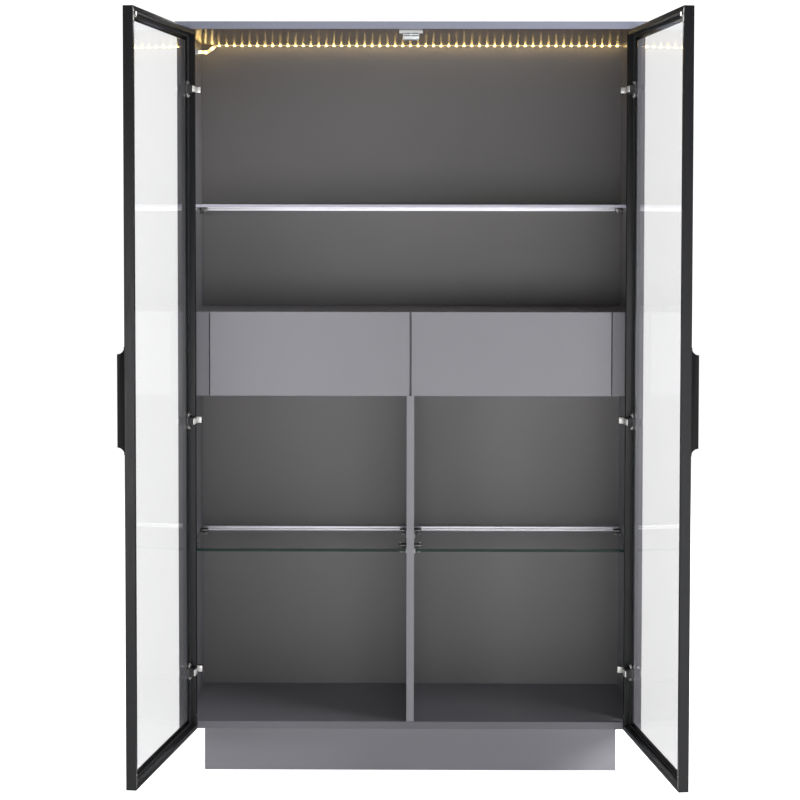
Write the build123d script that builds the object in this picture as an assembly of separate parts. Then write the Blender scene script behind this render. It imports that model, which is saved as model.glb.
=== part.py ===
from build123d import *
import os
from math import cos, radians, sin, tan

# A free-standing china cabinet: laminate carcass on a recessed plinth, two glazed
# doors, two drawers, three glass shelves and a strip light under the top.
# Millimetres. X to the right, Y towards the wall, Z up; the origin is on the floor,
# under the middle of the carcass. The doors are drawn open, the drawers shut.

# ---- carcass ----
WIDTH = 1000.0
DEPTH = 395.0
HEIGHT = 1618.0
BOARD = 16.0
TOP_OVERHANG = 23.0
PLINTH_HEIGHT = 104.0
PLINTH_INSET = 52.0
PLINTH_SETBACK = 55.0
BACK_THICKNESS = 4.0
BACK_SETBACK = 18.0
GROOVE_DEPTH = 7.0

FRONT = -DEPTH / 2
REAR = DEPTH / 2
BACK_FACE = REAR - BACK_SETBACK - BACK_THICKNESS
INNER_X = WIDTH / 2 - BOARD
CEILING = HEIGHT - BOARD
FLOOR = PLINTH_HEIGHT + BOARD

# ---- drawer tier ----
DECK_TOP = 1003.0
DRAWER_FRONT_HEIGHT = 180.0
DRAWER_FRONT_GAP = 2.0
FILLER_WIDTH = 53.0
REVEAL = 1.0
TIER_BOTTOM = DECK_TOP - DRAWER_FRONT_HEIGHT
RUNNER_FACE_X = INNER_X - FILLER_WIDTH + 2.0
RUNNER_SPACE = 13.0
BOX_WALL = 12.0
BOX_HEIGHT = 120.0
BOX_LENGTH = 330.0
BOX_BOTTOM_THICKNESS = 4.0
BOX_BOTTOM_LIFT = 10.0
BOX_LOW = TIER_BOTTOM + BOARD + 14.0
RUNNER_LENGTH = 320.0
RUNNER_SHEET = 1.5
RUNNER_Z = BOX_LOW + BOX_HEIGHT / 2

# ---- glass shelves ----
SHELF_GLASS = 6.0
SHELF_SIDE_GAP = 3.0
SHELF_RECESS = 51.0
UPPER_SHELF_Z = 1229.5
LOWER_SHELF_Z = 483.0
RAIL_HEIGHT = 15.0
RAIL_DEPTH = 14.0
RAIL_WEB = 3.0
RAIL_END_GAP = 1.0
RAIL_CLEARANCE = 0.2
PIN_RADIUS = 2.45
PIN_HOLE_RADIUS = 2.5
PIN_DEPTH = 8.0
PIN_OFFSETS = (105.0, 330.0)
CRADLE_LENGTH = 17.0
CRADLE_RADIUS = 4.0
COLLAR_RADIUS = 6.0
COLLAR_LENGTH = 2.0

# ---- doors ----
DOOR_SIDE_REVEAL = 2.0
DOOR_MEETING_GAP = 3.0
DOOR_BACK_GAP = 3.0
DOOR_TOP_GAP = 2.0
DOOR_LOW = PLINTH_HEIGHT + 1.0
FRAME_THICKNESS = 20.0
FRAME_FACE = 23.0
FRAME_WEB = 10.0
FRAME_FLANGE = 2.0
DOOR_GLASS = 4.0
GLASS_BITE = 11.0
GASKET = 2.5
LEFT_OPEN = 97.5
RIGHT_OPEN = 96.5
DOOR_OUTER_X = WIDTH / 2 - DOOR_SIDE_REVEAL
DOOR_MEETING_X = DOOR_MEETING_GAP / 2
DOOR_HIGH = CEILING - DOOR_TOP_GAP
DOOR_INNER_Y = FRONT - DOOR_BACK_GAP
DOOR_OUTER_Y = DOOR_INNER_Y - FRAME_THICKNESS
DOOR_MID_Z = (DOOR_LOW + DOOR_HIGH) / 2

# the door turns about an axis that its hinge arms carry sideways as it opens
PIVOT_SHUT = (-(DOOR_OUTER_X - 6.0), FRONT - 13.0)
PIVOT_OPEN = (-468.2, FRONT - 10.65)

# ---- concealed hinges ----
HINGE_LEVELS = (233.0, 771.0, 1475.0)
ARM_START = 18.0
ARM_LENGTH = 60.0
ARM_HALF_HEIGHT = 7.5
PLATE_THICKNESS = 3.0
PLATE_HALF_HEIGHT = 24.0
PLATE_SCREW_OFFSET = 16.0
PLATE_SCREW_RADIUS = 4.0
PLATE_SCREW_HEAD = 2.0
ARM_PROJECTION = 14.0
LINK_X = (447.0, 459.0)
LINK_Y = (1.0, 15.0)
LINK_HALF_HEIGHT = 6.0
CUP_LENGTH = 26.0
CUP_DEPTH = 13.0
CUP_HALF_HEIGHT = 18.0
CUP_SCREW_PITCH = 28.0

# ---- pull handles ----
HANDLE_LENGTH = 206.0
HANDLE_PROJECTION = 14.0
HANDLE_BLADE = 2.5
HANDLE_FLANGE = 18.0
HANDLE_FLANGE_THICKNESS = 1.5

# ---- catch and strip light ----
CATCH_WIDTH = 50.0
CATCH_BODY_WIDTH = 34.0
CATCH_FLANGE = 6.0
CATCH_HEIGHT = 19.0
CATCH_DEPTH = 28.0
MAGNET_STANDOFF = 1.0
LED_PITCH = 17.6
LED_COUNT = 53
LED_SIZE = 5.0
LED_HEIGHT = 1.6
LED_LAST_X = 473.0
TAPE_WIDTH = 8.0
TAPE_THICKNESS = 0.8
TAPE_Y = FRONT + 361.0
TAPE_END_GAP = 1.0
TAIL_START_X = -445.0
TAIL_SLOPE = 37.0
TAIL_LEVEL_Z = CEILING - 16.2
TAIL_CORNER_RADIUS = 6.0
TAIL_WALL_FALL = 5.2
TAIL_END_Y = 35.0
CONNECTOR = (9.0, 26.0, 12.0)


def block(x, y, z):
    """A box between pairs of limits along each axis."""
    lows = [min(pair) for pair in (x, y, z)]
    highs = [max(pair) for pair in (x, y, z)]
    sizes = [high - low for low, high in zip(lows, highs)]
    middle = [(high + low) / 2 for low, high in zip(lows, highs)]
    return Pos(*middle) * Box(*sizes)


def rod(start, axis, radius, length):
    """A cylinder that starts at a point and runs along X, Y or Z; a negative length runs back."""
    turn = {"x": Rot(0, 90, 0), "y": Rot(-90, 0, 0), "z": Rot(0, 0, 0)}[axis]
    middle = {"x": (length / 2, 0, 0), "y": (0, length / 2, 0), "z": (0, 0, length / 2)}[axis]
    return Pos(*start) * Pos(*middle) * turn * Cylinder(radius, abs(length))


def mirrored(shape):
    """The same shape on the other side of the cabinet."""
    return mirror(shape, about=Plane.YZ)


def save(node, *shapes):
    """Write one node, as a group where it has several solids."""
    solids = [solid for shape in shapes for solid in shape.solids()]
    part = solids[0] if len(solids) == 1 else Compound(solids)
    export_step(part, f"parts/{node}.step")


def opened(shape, angle, side):
    """Carry a shape of a shut door to its open place: side is -1 for left, 1 for right."""
    turn = Rot(0, 0, angle * side)
    start = Pos(side * PIVOT_SHUT[0], -PIVOT_SHUT[1], 0)
    end = Pos(-side * PIVOT_OPEN[0], PIVOT_OPEN[1], 0)
    return end * turn * start * shape


# ---- carcass ----
def side_panel():
    """The left side board, with its groove for the back and its shelf pin holes."""
    outer = -WIDTH / 2
    inner = -INNER_X
    panel = block((outer, inner), (FRONT, REAR), (PLINTH_HEIGHT, CEILING))
    panel -= block(
        (inner - GROOVE_DEPTH, inner),
        (BACK_FACE, BACK_FACE + BACK_THICKNESS),
        (FLOOR - GROOVE_DEPTH, CEILING),
    )
    for offset in PIN_OFFSETS:
        for level in (UPPER_SHELF_Z, LOWER_SHELF_Z):
            pin_z = level - SHELF_GLASS / 2 - CRADLE_RADIUS
            panel -= rod((inner, FRONT + offset, pin_z), "x", PIN_HOLE_RADIUS, -PIN_DEPTH)
    return panel


def top_panel():
    """The top, which runs forward over the doors."""
    top = block((-WIDTH / 2, WIDTH / 2), (FRONT - TOP_OVERHANG, REAR), (CEILING, HEIGHT))
    groove_x = INNER_X + GROOVE_DEPTH
    groove_y = (BACK_FACE, BACK_FACE + BACK_THICKNESS)
    return top - block((-groove_x, groove_x), groove_y, (CEILING, CEILING + GROOVE_DEPTH))


def bottom_panel():
    """The bottom, held between the sides."""
    bottom = block((-INNER_X, INNER_X), (FRONT, REAR), (PLINTH_HEIGHT, FLOOR))
    groove_y = (BACK_FACE, BACK_FACE + BACK_THICKNESS)
    return bottom - block((-INNER_X, INNER_X), groove_y, (FLOOR - GROOVE_DEPTH, FLOOR))


def back_panel():
    """The thin back, let into grooves on all four edges."""
    reach = GROOVE_DEPTH - 0.5
    return block(
        (-INNER_X - reach, INNER_X + reach),
        (BACK_FACE, BACK_FACE + BACK_THICKNESS),
        (FLOOR - reach, CEILING + reach),
    )


def bay_divider():
    """The upright between the two lower bays, drilled right through for shelf pins."""
    half = BOARD / 2
    divider = block((-half, half), (FRONT + REVEAL, BACK_FACE), (FLOOR, TIER_BOTTOM))
    pin_z = LOWER_SHELF_Z - SHELF_GLASS / 2 - CRADLE_RADIUS
    for offset in PIN_OFFSETS:
        divider -= rod((-half, FRONT + offset, pin_z), "x", PIN_HOLE_RADIUS, BOARD)
    return divider


def build_carcass():
    """Boards of the case and the plinth under it."""
    save("top_panel", top_panel())
    save("bottom_panel", bottom_panel())
    left = side_panel()
    save("side_panel_left", left)
    save("side_panel_right", mirrored(left))
    save("back_panel", back_panel())

    shelf_y = (FRONT + BOARD + REVEAL, BACK_FACE)
    save("upper_deck", block((-INNER_X, INNER_X), shelf_y, (DECK_TOP - BOARD, DECK_TOP)))
    save("lower_deck", block((-INNER_X, INNER_X), shelf_y, (TIER_BOTTOM, TIER_BOTTOM + BOARD)))
    save("bay_divider", bay_divider())
    tier = (TIER_BOTTOM + BOARD, DECK_TOP - BOARD)
    save("drawer_divider", block((-BOARD / 2, BOARD / 2), shelf_y, tier))
    filler = block(
        (-INNER_X, -INNER_X + FILLER_WIDTH), (FRONT, FRONT + BOARD), (TIER_BOTTOM, DECK_TOP)
    )
    save("filler_strips", filler, mirrored(filler))
    board = block((-RUNNER_FACE_X - BOARD, -RUNNER_FACE_X), shelf_y, tier)
    save("runner_boards", board, mirrored(board))

    plinth_x = WIDTH / 2 - PLINTH_INSET
    plinth_front = FRONT + PLINTH_SETBACK
    height = (0, PLINTH_HEIGHT)
    save("plinth_front", block((-plinth_x, plinth_x), (plinth_front, plinth_front + BOARD), height))
    save("plinth_rear", block((-plinth_x, plinth_x), (REAR - BOARD, REAR), height))
    run = (plinth_front + BOARD, REAR - BOARD)
    cheek = block((-plinth_x, -plinth_x + BOARD), run, height)
    save("plinth_sides", cheek, mirrored(cheek))
    save("plinth_brace", block((-BOARD / 2, BOARD / 2), run, height))


# ---- shelves ----
def shelf(left, right, level):
    """One glass shelf and the channel along its back edge, between two upright faces."""
    low, high = level - SHELF_GLASS / 2, level + SHELF_GLASS / 2
    glass_y = (FRONT + SHELF_RECESS, BACK_FACE - RAIL_WEB - 0.5)
    glass = block((left + SHELF_SIDE_GAP, right - SHELF_SIDE_GAP), glass_y, (low, high))
    rail_x = (left + RAIL_END_GAP, right - RAIL_END_GAP)
    rail_z = (level - RAIL_HEIGHT / 2, level + RAIL_HEIGHT / 2)
    rail = block(rail_x, (BACK_FACE - RAIL_DEPTH, BACK_FACE), rail_z)
    slot = (BACK_FACE - RAIL_DEPTH, BACK_FACE - RAIL_WEB)
    rail -= block(rail_x, slot, (low - RAIL_CLEARANCE, high + RAIL_CLEARANCE))
    return glass, rail


def shelf_support(face_x, direction, offset, level):
    """A pin in the board, a collar against it and a cradle under the glass."""
    axis_z = level - SHELF_GLASS / 2 - CRADLE_RADIUS
    at = (face_x, FRONT + offset, axis_z)
    collar = rod(at, "x", CRADLE_RADIUS, direction * COLLAR_LENGTH)
    cradle = rod(at, "x", CRADLE_RADIUS, direction * CRADLE_LENGTH)
    pin = rod(at, "x", PIN_RADIUS, -direction * (PIN_DEPTH - 0.5))
    skirt = rod(at, "x", COLLAR_RADIUS, direction * COLLAR_LENGTH)
    skirt -= block(
        (face_x - 20, face_x + 20),
        (FRONT + offset - 20, FRONT + offset + 20),
        (axis_z + CRADLE_RADIUS, axis_z + 20),
    )
    return (pin + collar + cradle + skirt).solid()


def build_shelves():
    """Three glass shelves, their rails and twelve supports."""
    half = BOARD / 2
    glass, rail = shelf(-INNER_X, INNER_X, UPPER_SHELF_Z)
    save("shelf_glass_upper", glass)
    save("shelf_rail_upper", rail)
    glass, rail = shelf(-INNER_X, -half, LOWER_SHELF_Z)
    save("shelf_glass_lower_left", glass)
    save("shelf_glass_lower_right", mirrored(glass))
    save("shelf_rails_lower", rail, mirrored(rail))

    upper = [shelf_support(-INNER_X, 1, offset, UPPER_SHELF_Z) for offset in PIN_OFFSETS]
    save("shelf_supports_upper", *upper, *[mirrored(one) for one in upper])
    lower = [
        shelf_support(face, direction, offset, LOWER_SHELF_Z)
        for face, direction in ((-INNER_X, 1), (-half, -1))
        for offset in PIN_OFFSETS
    ]
    save("shelf_supports_lower", *lower, *[mirrored(one) for one in lower])


# ---- doors ----
def frame_member(long_axis):
    """A full-length bar of the left door's section: 'stile' at the hinge edge or 'rail' at the top."""
    web_y = (DOOR_INNER_Y, DOOR_OUTER_Y)
    flange_y = (DOOR_OUTER_Y + FRAME_FLANGE, DOOR_OUTER_Y)
    x0, x1 = -DOOR_OUTER_X, -DOOR_MEETING_X
    if long_axis == "stile":
        web = block((x0, x0 + FRAME_WEB), web_y, (DOOR_LOW, DOOR_HIGH))
        flange = block((x0, x0 + FRAME_FACE), flange_y, (DOOR_LOW, DOOR_HIGH))
    else:
        web = block((x0, x1), web_y, (DOOR_HIGH - FRAME_WEB, DOOR_HIGH))
        flange = block((x0, x1), flange_y, (DOOR_HIGH - FRAME_FACE, DOOR_HIGH))
    return web + flange


def mitre_wedge(points):
    """A prism through the door's thickness over a four-cornered outline in X and Z."""
    outline = Polyline(*[(x, z) for x, z in points], close=True)
    face = make_face(Plane.XZ * outline)
    prism = extrude(face, amount=FRAME_THICKNESS + 20, both=True)
    return Pos(0, (DOOR_INNER_Y + DOOR_OUTER_Y) / 2, 0) * prism


def door_frame():
    """The four mitred bars of the left door: hinge stile, handle stile, top rail, bottom rail."""
    x0, x1 = -DOOR_OUTER_X, -DOOR_MEETING_X
    face = FRAME_FACE
    stile_wedge = mitre_wedge(
        [(x0, DOOR_LOW), (x0 + face, DOOR_LOW + face), (x0 + face, DOOR_HIGH - face), (x0, DOOR_HIGH)]
    )
    rail_wedge = mitre_wedge(
        [(x0, DOOR_HIGH), (x0 + face, DOOR_HIGH - face), (x1 - face, DOOR_HIGH - face), (x1, DOOR_HIGH)]
    )
    stile = (frame_member("stile") & stile_wedge).solid()
    rail = (frame_member("rail") & rail_wedge).solid()
    across = Plane.YZ.offset((x0 + x1) / 2)
    other_stile = mirror(stile, about=across)
    other_rail = mirror(rail, about=Plane.XY.offset(DOOR_MID_Z))
    return [stile, other_stile], [rail, other_rail]


def door_glass():
    """The pane, which laps the flanges on all four sides."""
    edge = FRAME_FACE - GLASS_BITE
    face_y = DOOR_OUTER_Y + FRAME_FLANGE
    return block(
        (-DOOR_OUTER_X + edge, -DOOR_MEETING_X - edge),
        (face_y, face_y + DOOR_GLASS),
        (DOOR_LOW + edge, DOOR_HIGH - edge),
    )


def door_gasket():
    """A square rubber bead round the pane, pressed between it and the webs."""
    outer = FRAME_WEB
    inner = FRAME_WEB + 2 * GASKET
    y = (DOOR_OUTER_Y + FRAME_FLANGE + DOOR_GLASS, DOOR_OUTER_Y + FRAME_FLANGE + DOOR_GLASS + GASKET)
    ring = block(
        (-DOOR_OUTER_X + outer, -DOOR_MEETING_X - outer), y, (DOOR_LOW + outer, DOOR_HIGH - outer)
    )
    return ring - block(
        (-DOOR_OUTER_X + inner, -DOOR_MEETING_X - inner), y, (DOOR_LOW + inner, DOOR_HIGH - inner)
    )


def door_handle():
    """A blade flush with the meeting edge that stands out of the face, with hollowed ends."""
    x1 = -DOOR_MEETING_X
    half = HANDLE_LENGTH / 2
    reach = HANDLE_PROJECTION
    blade = block((x1 - HANDLE_BLADE, x1), (DOOR_OUTER_Y - reach, DOOR_OUTER_Y), (-half, half))
    for end in (-1, 1):
        hollow = rod((x1 - 10, DOOR_OUTER_Y - reach, end * half), "x", reach, 20)
        blade -= hollow
    flange = block(
        (x1 - HANDLE_FLANGE, x1 - HANDLE_BLADE),
        (DOOR_OUTER_Y - HANDLE_FLANGE_THICKNESS, DOOR_OUTER_Y),
        (-half, half),
    )
    return Pos(0, 0, DOOR_MID_Z) * (blade + flange).solid()


def hinge_cup(level):
    """The hinge body in the stile's hollow, with a wing at each end for its screws."""
    x0 = -DOOR_OUTER_X + FRAME_WEB + 2 * GASKET + 0.5
    pane_y = DOOR_OUTER_Y + FRAME_FLANGE + DOOR_GLASS
    low_y = pane_y + 0.3
    body_half = CUP_SCREW_PITCH / 2 - 4
    body = block((x0, x0 + CUP_LENGTH - 6), (low_y, DOOR_INNER_Y), (level - body_half, level + body_half))
    wing = block((x0, x0 + 10), (low_y, low_y + 4), (level - CUP_HALF_HEIGHT, level + CUP_HALF_HEIGHT))
    nose = block(
        (x0 - 2 * GASKET - 0.3, x0), (low_y + GASKET + 0.3, DOOR_INNER_Y), (level - 6, level + 6)
    )
    return (body + wing + nose).solid()


def door_fixings():
    """A strike plate for the catch and a countersunk screw in each corner of the webs."""
    x1 = -DOOR_MEETING_X
    strike_x = (x1 - FRAME_WEB - 16, x1 - FRAME_WEB - 1)
    strike_z = (DOOR_HIGH - FRAME_WEB - 10, DOOR_HIGH - FRAME_WEB)
    strike = block(strike_x, (DOOR_INNER_Y - 1.2, DOOR_INNER_Y + 0.6), strike_z)
    screws = []
    for x in (-DOOR_OUTER_X + FRAME_WEB / 2, x1 - FRAME_WEB / 2):
        for z in (DOOR_LOW + 30, DOOR_HIGH - 30):
            screws.append(rod((x, DOOR_INNER_Y, z), "y", 2.4, 0.8))
    return [strike, *screws]


def build_doors():
    """Both doors, each drawn shut on the left, mirrored if need be and then opened."""
    stiles, rails = door_frame()
    pieces = {
        "stiles": stiles,
        "rails": rails,
        "glass": [door_glass()],
        "gasket": [door_gasket()],
        "handle": [door_handle()],
        "hinge_cups": [hinge_cup(level) for level in HINGE_LEVELS],
        "fixings": door_fixings(),
    }
    for name, shapes in pieces.items():
        save(f"door_left_{name}", *[opened(shape, LEFT_OPEN, -1) for shape in shapes])
        save(f"door_right_{name}", *[opened(mirrored(shape), RIGHT_OPEN, 1) for shape in shapes])


# ---- hinges on the carcass ----
def hinge_arm(level):
    """A mounting plate on the side board with the arm clipped over it."""
    wall = -INNER_X
    start = FRONT + ARM_START
    plate = block(
        (wall, wall + PLATE_THICKNESS),
        (start + 18, start + 36),
        (level - PLATE_HALF_HEIGHT, level + PLATE_HALF_HEIGHT),
    )
    arm = block(
        (wall, wall + ARM_PROJECTION),
        (start, start + ARM_LENGTH),
        (level - ARM_HALF_HEIGHT, level + ARM_HALF_HEIGHT),
    )
    arm = chamfer(arm.edges().filter_by(Axis.Z).group_by(Axis.X)[-1], 4.0)
    return (plate + arm).solid()


def plate_screws(level):
    """The two pan heads that hold a mounting plate."""
    x = -INNER_X + PLATE_THICKNESS
    y = FRONT + ARM_START + 27
    heights = (level - PLATE_SCREW_OFFSET, level + PLATE_SCREW_OFFSET)
    return [rod((x, y, z), "x", PLATE_SCREW_RADIUS, PLATE_SCREW_HEAD) for z in heights]


def hinge_link(level):
    """The link block between an arm and the door's hinge body."""
    x = (-LINK_X[1], -LINK_X[0])
    y = (FRONT + LINK_Y[0], FRONT + LINK_Y[1])
    link = block(x, y, (level - LINK_HALF_HEIGHT, level + LINK_HALF_HEIGHT))
    return fillet(link.edges().filter_by(Axis.Z), 3.0)


def build_hinges():
    """Three concealed hinges a side: arms on the carcass, links that travel with the door."""
    arms = [hinge_arm(level) for level in HINGE_LEVELS]
    save("hinge_arms_left", *arms)
    save("hinge_arms_right", *[mirrored(arm) for arm in arms])
    screws = [screw for level in HINGE_LEVELS for screw in plate_screws(level)]
    save("hinge_plate_screws", *screws, *[mirrored(screw) for screw in screws])
    links = [hinge_link(level) for level in HINGE_LEVELS]
    save("hinge_links_left", *links)
    save("hinge_links_right", *[mirrored(link) for link in links])


# ---- drawers ----
def channel(depth_range, half_height, lip, length_y, face_x, direction, web_at_start=True):
    """A C-shaped runner member: its web lies at one end of its depth and its lips run across it."""
    near, far = depth_range
    sheet = RUNNER_SHEET
    web = (near, near + sheet) if web_at_start else (far - sheet, far)
    x = [face_x + direction * value for value in web]
    body = block(x, length_y, (RUNNER_Z - half_height, RUNNER_Z + half_height))
    lip_x = [face_x + direction * value for value in (near, far)]
    for low in (RUNNER_Z - half_height, RUNNER_Z + half_height - lip):
        body += block(lip_x, length_y, (low, low + lip))
    return body.solid()


def runner(face_x, direction):
    """The three members of one telescopic runner, from a fixed face across to the drawer."""
    length_y = (FRONT + BOARD + 3, FRONT + BOARD + 3 + RUNNER_LENGTH)
    outer = channel((0, 10.0), 22.5, RUNNER_SHEET, length_y, face_x, direction)
    middle = channel((3.0, 9.5), 19.0, RUNNER_SHEET, length_y, face_x, direction)
    inner = channel((6.0, RUNNER_SPACE), 15.5, RUNNER_SHEET, length_y, face_x, direction, False)
    return outer, middle, inner


def build_drawers():
    """Two drawers, each with a front, three walls, a bottom and a pair of runners."""
    box_x = (-RUNNER_FACE_X + RUNNER_SPACE, -BOARD / 2 - RUNNER_SPACE)
    box_y = (FRONT + BOARD, FRONT + BOARD + BOX_LENGTH)
    box_z = (BOX_LOW, BOX_LOW + BOX_HEIGHT)
    front = block(
        (-INNER_X + FILLER_WIDTH + DRAWER_FRONT_GAP, -DRAWER_FRONT_GAP),
        (FRONT, FRONT + BOARD),
        (TIER_BOTTOM, DECK_TOP),
    )
    wall_a = block((box_x[0], box_x[0] + BOX_WALL), box_y, box_z)
    wall_b = block((box_x[1] - BOX_WALL, box_x[1]), box_y, box_z)
    inside = (box_x[0] + BOX_WALL, box_x[1] - BOX_WALL)
    wall_c = block(inside, (box_y[1] - BOX_WALL, box_y[1]), box_z)
    low = BOX_LOW + BOX_BOTTOM_LIFT
    bottom = block(inside, (box_y[0], box_y[1] - BOX_WALL), (low, low + BOX_BOTTOM_THICKNESS))
    outer_a, middle_a, inner_a = runner(-RUNNER_FACE_X, 1)
    outer_b, middle_b, inner_b = runner(-BOARD / 2, -1)
    pieces = {
        "front": [front],
        "walls": [wall_a, wall_b, wall_c],
        "bottom": [bottom],
        "runner_inners": [inner_a, inner_b],
        "runner_middles": [middle_a, middle_b],
    }
    for name, shapes in pieces.items():
        save(f"drawer_left_{name}", *shapes)
        save(f"drawer_right_{name}", *[mirrored(shape) for shape in shapes])
    outers = [outer_a, outer_b]
    save("runner_outers", *outers, *[mirrored(shape) for shape in outers])


# ---- catch and strip light ----
def build_catch():
    """A double magnetic catch under the front of the top."""
    rear = FRONT + CATCH_DEPTH
    flange = block(
        (-CATCH_WIDTH / 2, CATCH_WIDTH / 2),
        (FRONT + MAGNET_STANDOFF, rear),
        (CEILING - CATCH_FLANGE, CEILING),
    )
    half = CATCH_BODY_WIDTH / 2
    body = block((-half, half), (FRONT + MAGNET_STANDOFF, rear), (CEILING - CATCH_HEIGHT, CEILING))
    housing = (flange + body).solid()
    magnets = []
    for side in (-1, 1):
        x = (side * 2.0, side * (half - 2.0))
        z = (CEILING - CATCH_HEIGHT + 2, CEILING - CATCH_FLANGE - 1)
        magnet = block(x, (FRONT - 1.0, FRONT + 12), z)
        housing -= magnet
        magnets.append(magnet)
    save("catch_housing", housing.solid())
    save("catch_magnets", *magnets)


def tail_station(x, y, z, heading, fall, twist):
    """A place on the tape: heading turns it about Z, fall tips it down, twist rolls it forward."""
    turn = Rot(0, 0, heading) * Rot(0, -fall, 0) * Rot(-twist, 0, 0)
    frame = Plane(origin=(0, 0, 0), x_dir=(0, 1, 0), z_dir=(-1, 0, 0))
    return Pos(x, y, z) * turn * frame.location


def tail_route():
    """The tail leaves the ceiling, rolls on edge, drops to the wall and runs forward along it."""
    high = CEILING - TAPE_THICKNESS / 2
    wall = -INNER_X + TAPE_THICKNESS / 2
    corner_x = wall + TAIL_CORNER_RADIUS
    corner_y = TAPE_Y - TAIL_CORNER_RADIUS
    level = TAIL_LEVEL_Z
    x0 = TAIL_START_X
    stations = [
        tail_station(x0, TAPE_Y, high, 0, 0, 0),
        tail_station(x0 - 3.9, TAPE_Y, high - 0.9, 0, 26, 8),
        tail_station(x0 - 7.2, TAPE_Y, high - 3.1, 0, TAIL_SLOPE, 45),
        tail_station(x0 - 10.4, TAPE_Y, high - 5.5, 0, TAIL_SLOPE, 90),
        tail_station(x0 - 21.8, TAPE_Y, high - 14.1, 0, TAIL_SLOPE, 90),
        tail_station(x0 - 24.6, TAPE_Y, level, 0, 0, 90),
        tail_station(corner_x, TAPE_Y, level, 0, 0, 90),
    ]
    for heading in (30, 60, 90):
        x = corner_x - TAIL_CORNER_RADIUS * sin(radians(heading))
        y = corner_y + TAIL_CORNER_RADIUS * cos(radians(heading))
        stations.append(tail_station(x, y, level, heading, TAIL_WALL_FALL * heading / 90, 90))
    end_z = level - (corner_y - TAIL_END_Y) * tan(radians(TAIL_WALL_FALL))
    stations.append(tail_station(wall, TAIL_END_Y, end_z, 90, TAIL_WALL_FALL, 90))
    return stations


def tail_tape(stations):
    """The tail as one ribbon through its stations."""
    sections = [station * Rectangle(TAPE_WIDTH, TAPE_THICKNESS) for station in stations]
    return loft(sections, ruled=True)


def chip(place):
    """One emitter on the tape's lit face, at a place on its centreline."""
    lift = TAPE_THICKNESS / 2 + LED_HEIGHT / 2
    return place * Pos(0, lift, 0) * Box(LED_SIZE, LED_HEIGHT, LED_SIZE)


def tail_chips(stations):
    """The emitters that follow on along the tail, where it lies flat."""
    run = LED_PITCH - (LED_LAST_X - (LED_COUNT - 1) * LED_PITCH - TAIL_START_X)
    chips = []
    for before, after in zip(stations, stations[1:]):
        length = (after.position - before.position).length
        while run < length:
            centre = before.position + (after.position - before.position) * (run / length)
            chips.append(chip(Location(centre, before.orientation)))
            run += LED_PITCH
        run -= length
    return chips


def build_light():
    """The light tape along the back of the ceiling, its tail, emitters and connector."""
    stations = tail_route()
    tape_z = (CEILING - TAPE_THICKNESS, CEILING)
    tape_y = (TAPE_Y - TAPE_WIDTH / 2, TAPE_Y + TAPE_WIDTH / 2)
    straight = block((TAIL_START_X, INNER_X - TAPE_END_GAP), tape_y, tape_z)
    save("led_tape", (straight + tail_tape(stations)).solid())
    chips = []
    for index in range(LED_COUNT):
        x = LED_LAST_X - index * LED_PITCH
        chips.append(chip(tail_station(x, TAPE_Y, CEILING - TAPE_THICKNESS / 2, 0, 0, 0)))
    save("led_chips", *chips, *tail_chips(stations))

    thick, long, tall = CONNECTOR
    end = stations[-1].position
    rear = end.Y - TAPE_WIDTH / 2 * sin(radians(TAIL_WALL_FALL))
    box = block(
        (-INNER_X, -INNER_X + thick), (rear - long, rear), (end.Z - tall / 2, end.Z + tall / 2)
    )
    save("led_connector", box)


os.makedirs("parts", exist_ok=True)
build_carcass()
build_shelves()
build_doors()
build_hinges()
build_drawers()
build_catch()
build_light()
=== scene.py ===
"""Finishes and fine hardware of a glass-door china cabinet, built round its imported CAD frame."""

import logging
import math
from dataclasses import dataclass, field
from enum import Enum
from typing import Iterable, Optional, Sequence

import bmesh
import bpy
from mathutils import Matrix, Vector


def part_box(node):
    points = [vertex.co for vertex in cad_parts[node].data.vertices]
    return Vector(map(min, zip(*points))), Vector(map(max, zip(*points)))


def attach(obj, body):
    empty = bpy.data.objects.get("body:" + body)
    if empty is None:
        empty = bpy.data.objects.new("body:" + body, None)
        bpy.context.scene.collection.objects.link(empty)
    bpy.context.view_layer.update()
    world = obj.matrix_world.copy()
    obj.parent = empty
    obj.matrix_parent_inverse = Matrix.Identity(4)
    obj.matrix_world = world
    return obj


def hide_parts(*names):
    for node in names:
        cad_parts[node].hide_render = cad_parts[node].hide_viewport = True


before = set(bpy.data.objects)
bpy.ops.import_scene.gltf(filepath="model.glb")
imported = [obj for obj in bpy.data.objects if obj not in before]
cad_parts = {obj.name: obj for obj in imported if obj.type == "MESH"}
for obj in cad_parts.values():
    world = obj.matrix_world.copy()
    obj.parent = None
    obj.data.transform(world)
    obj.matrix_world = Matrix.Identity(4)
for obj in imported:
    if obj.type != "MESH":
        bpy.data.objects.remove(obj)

LOG = logging.getLogger("china_cabinet")
MM = 0.001
SHARP_BEND = math.radians(25)
WHITE = (1.0, 1.0, 1.0, 1.0)
FACING = 0.9
Point = Sequence[float]


class Side(Enum):
    """The two hands of the cabinet."""

    LEFT = -1
    RIGHT = 1

    @property
    def word(self) -> str:
        """The side's name as the frame spells it."""
        return self.name.lower()


class Grain(Enum):
    """Which way the fine lines of a drawn or brushed metal run, as a stretch of its pattern."""

    ALONG_X = (6.0, 420.0, 420.0)
    ALONG_Y = (420.0, 6.0, 420.0)
    ALONG_Z = (420.0, 420.0, 6.0)


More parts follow.
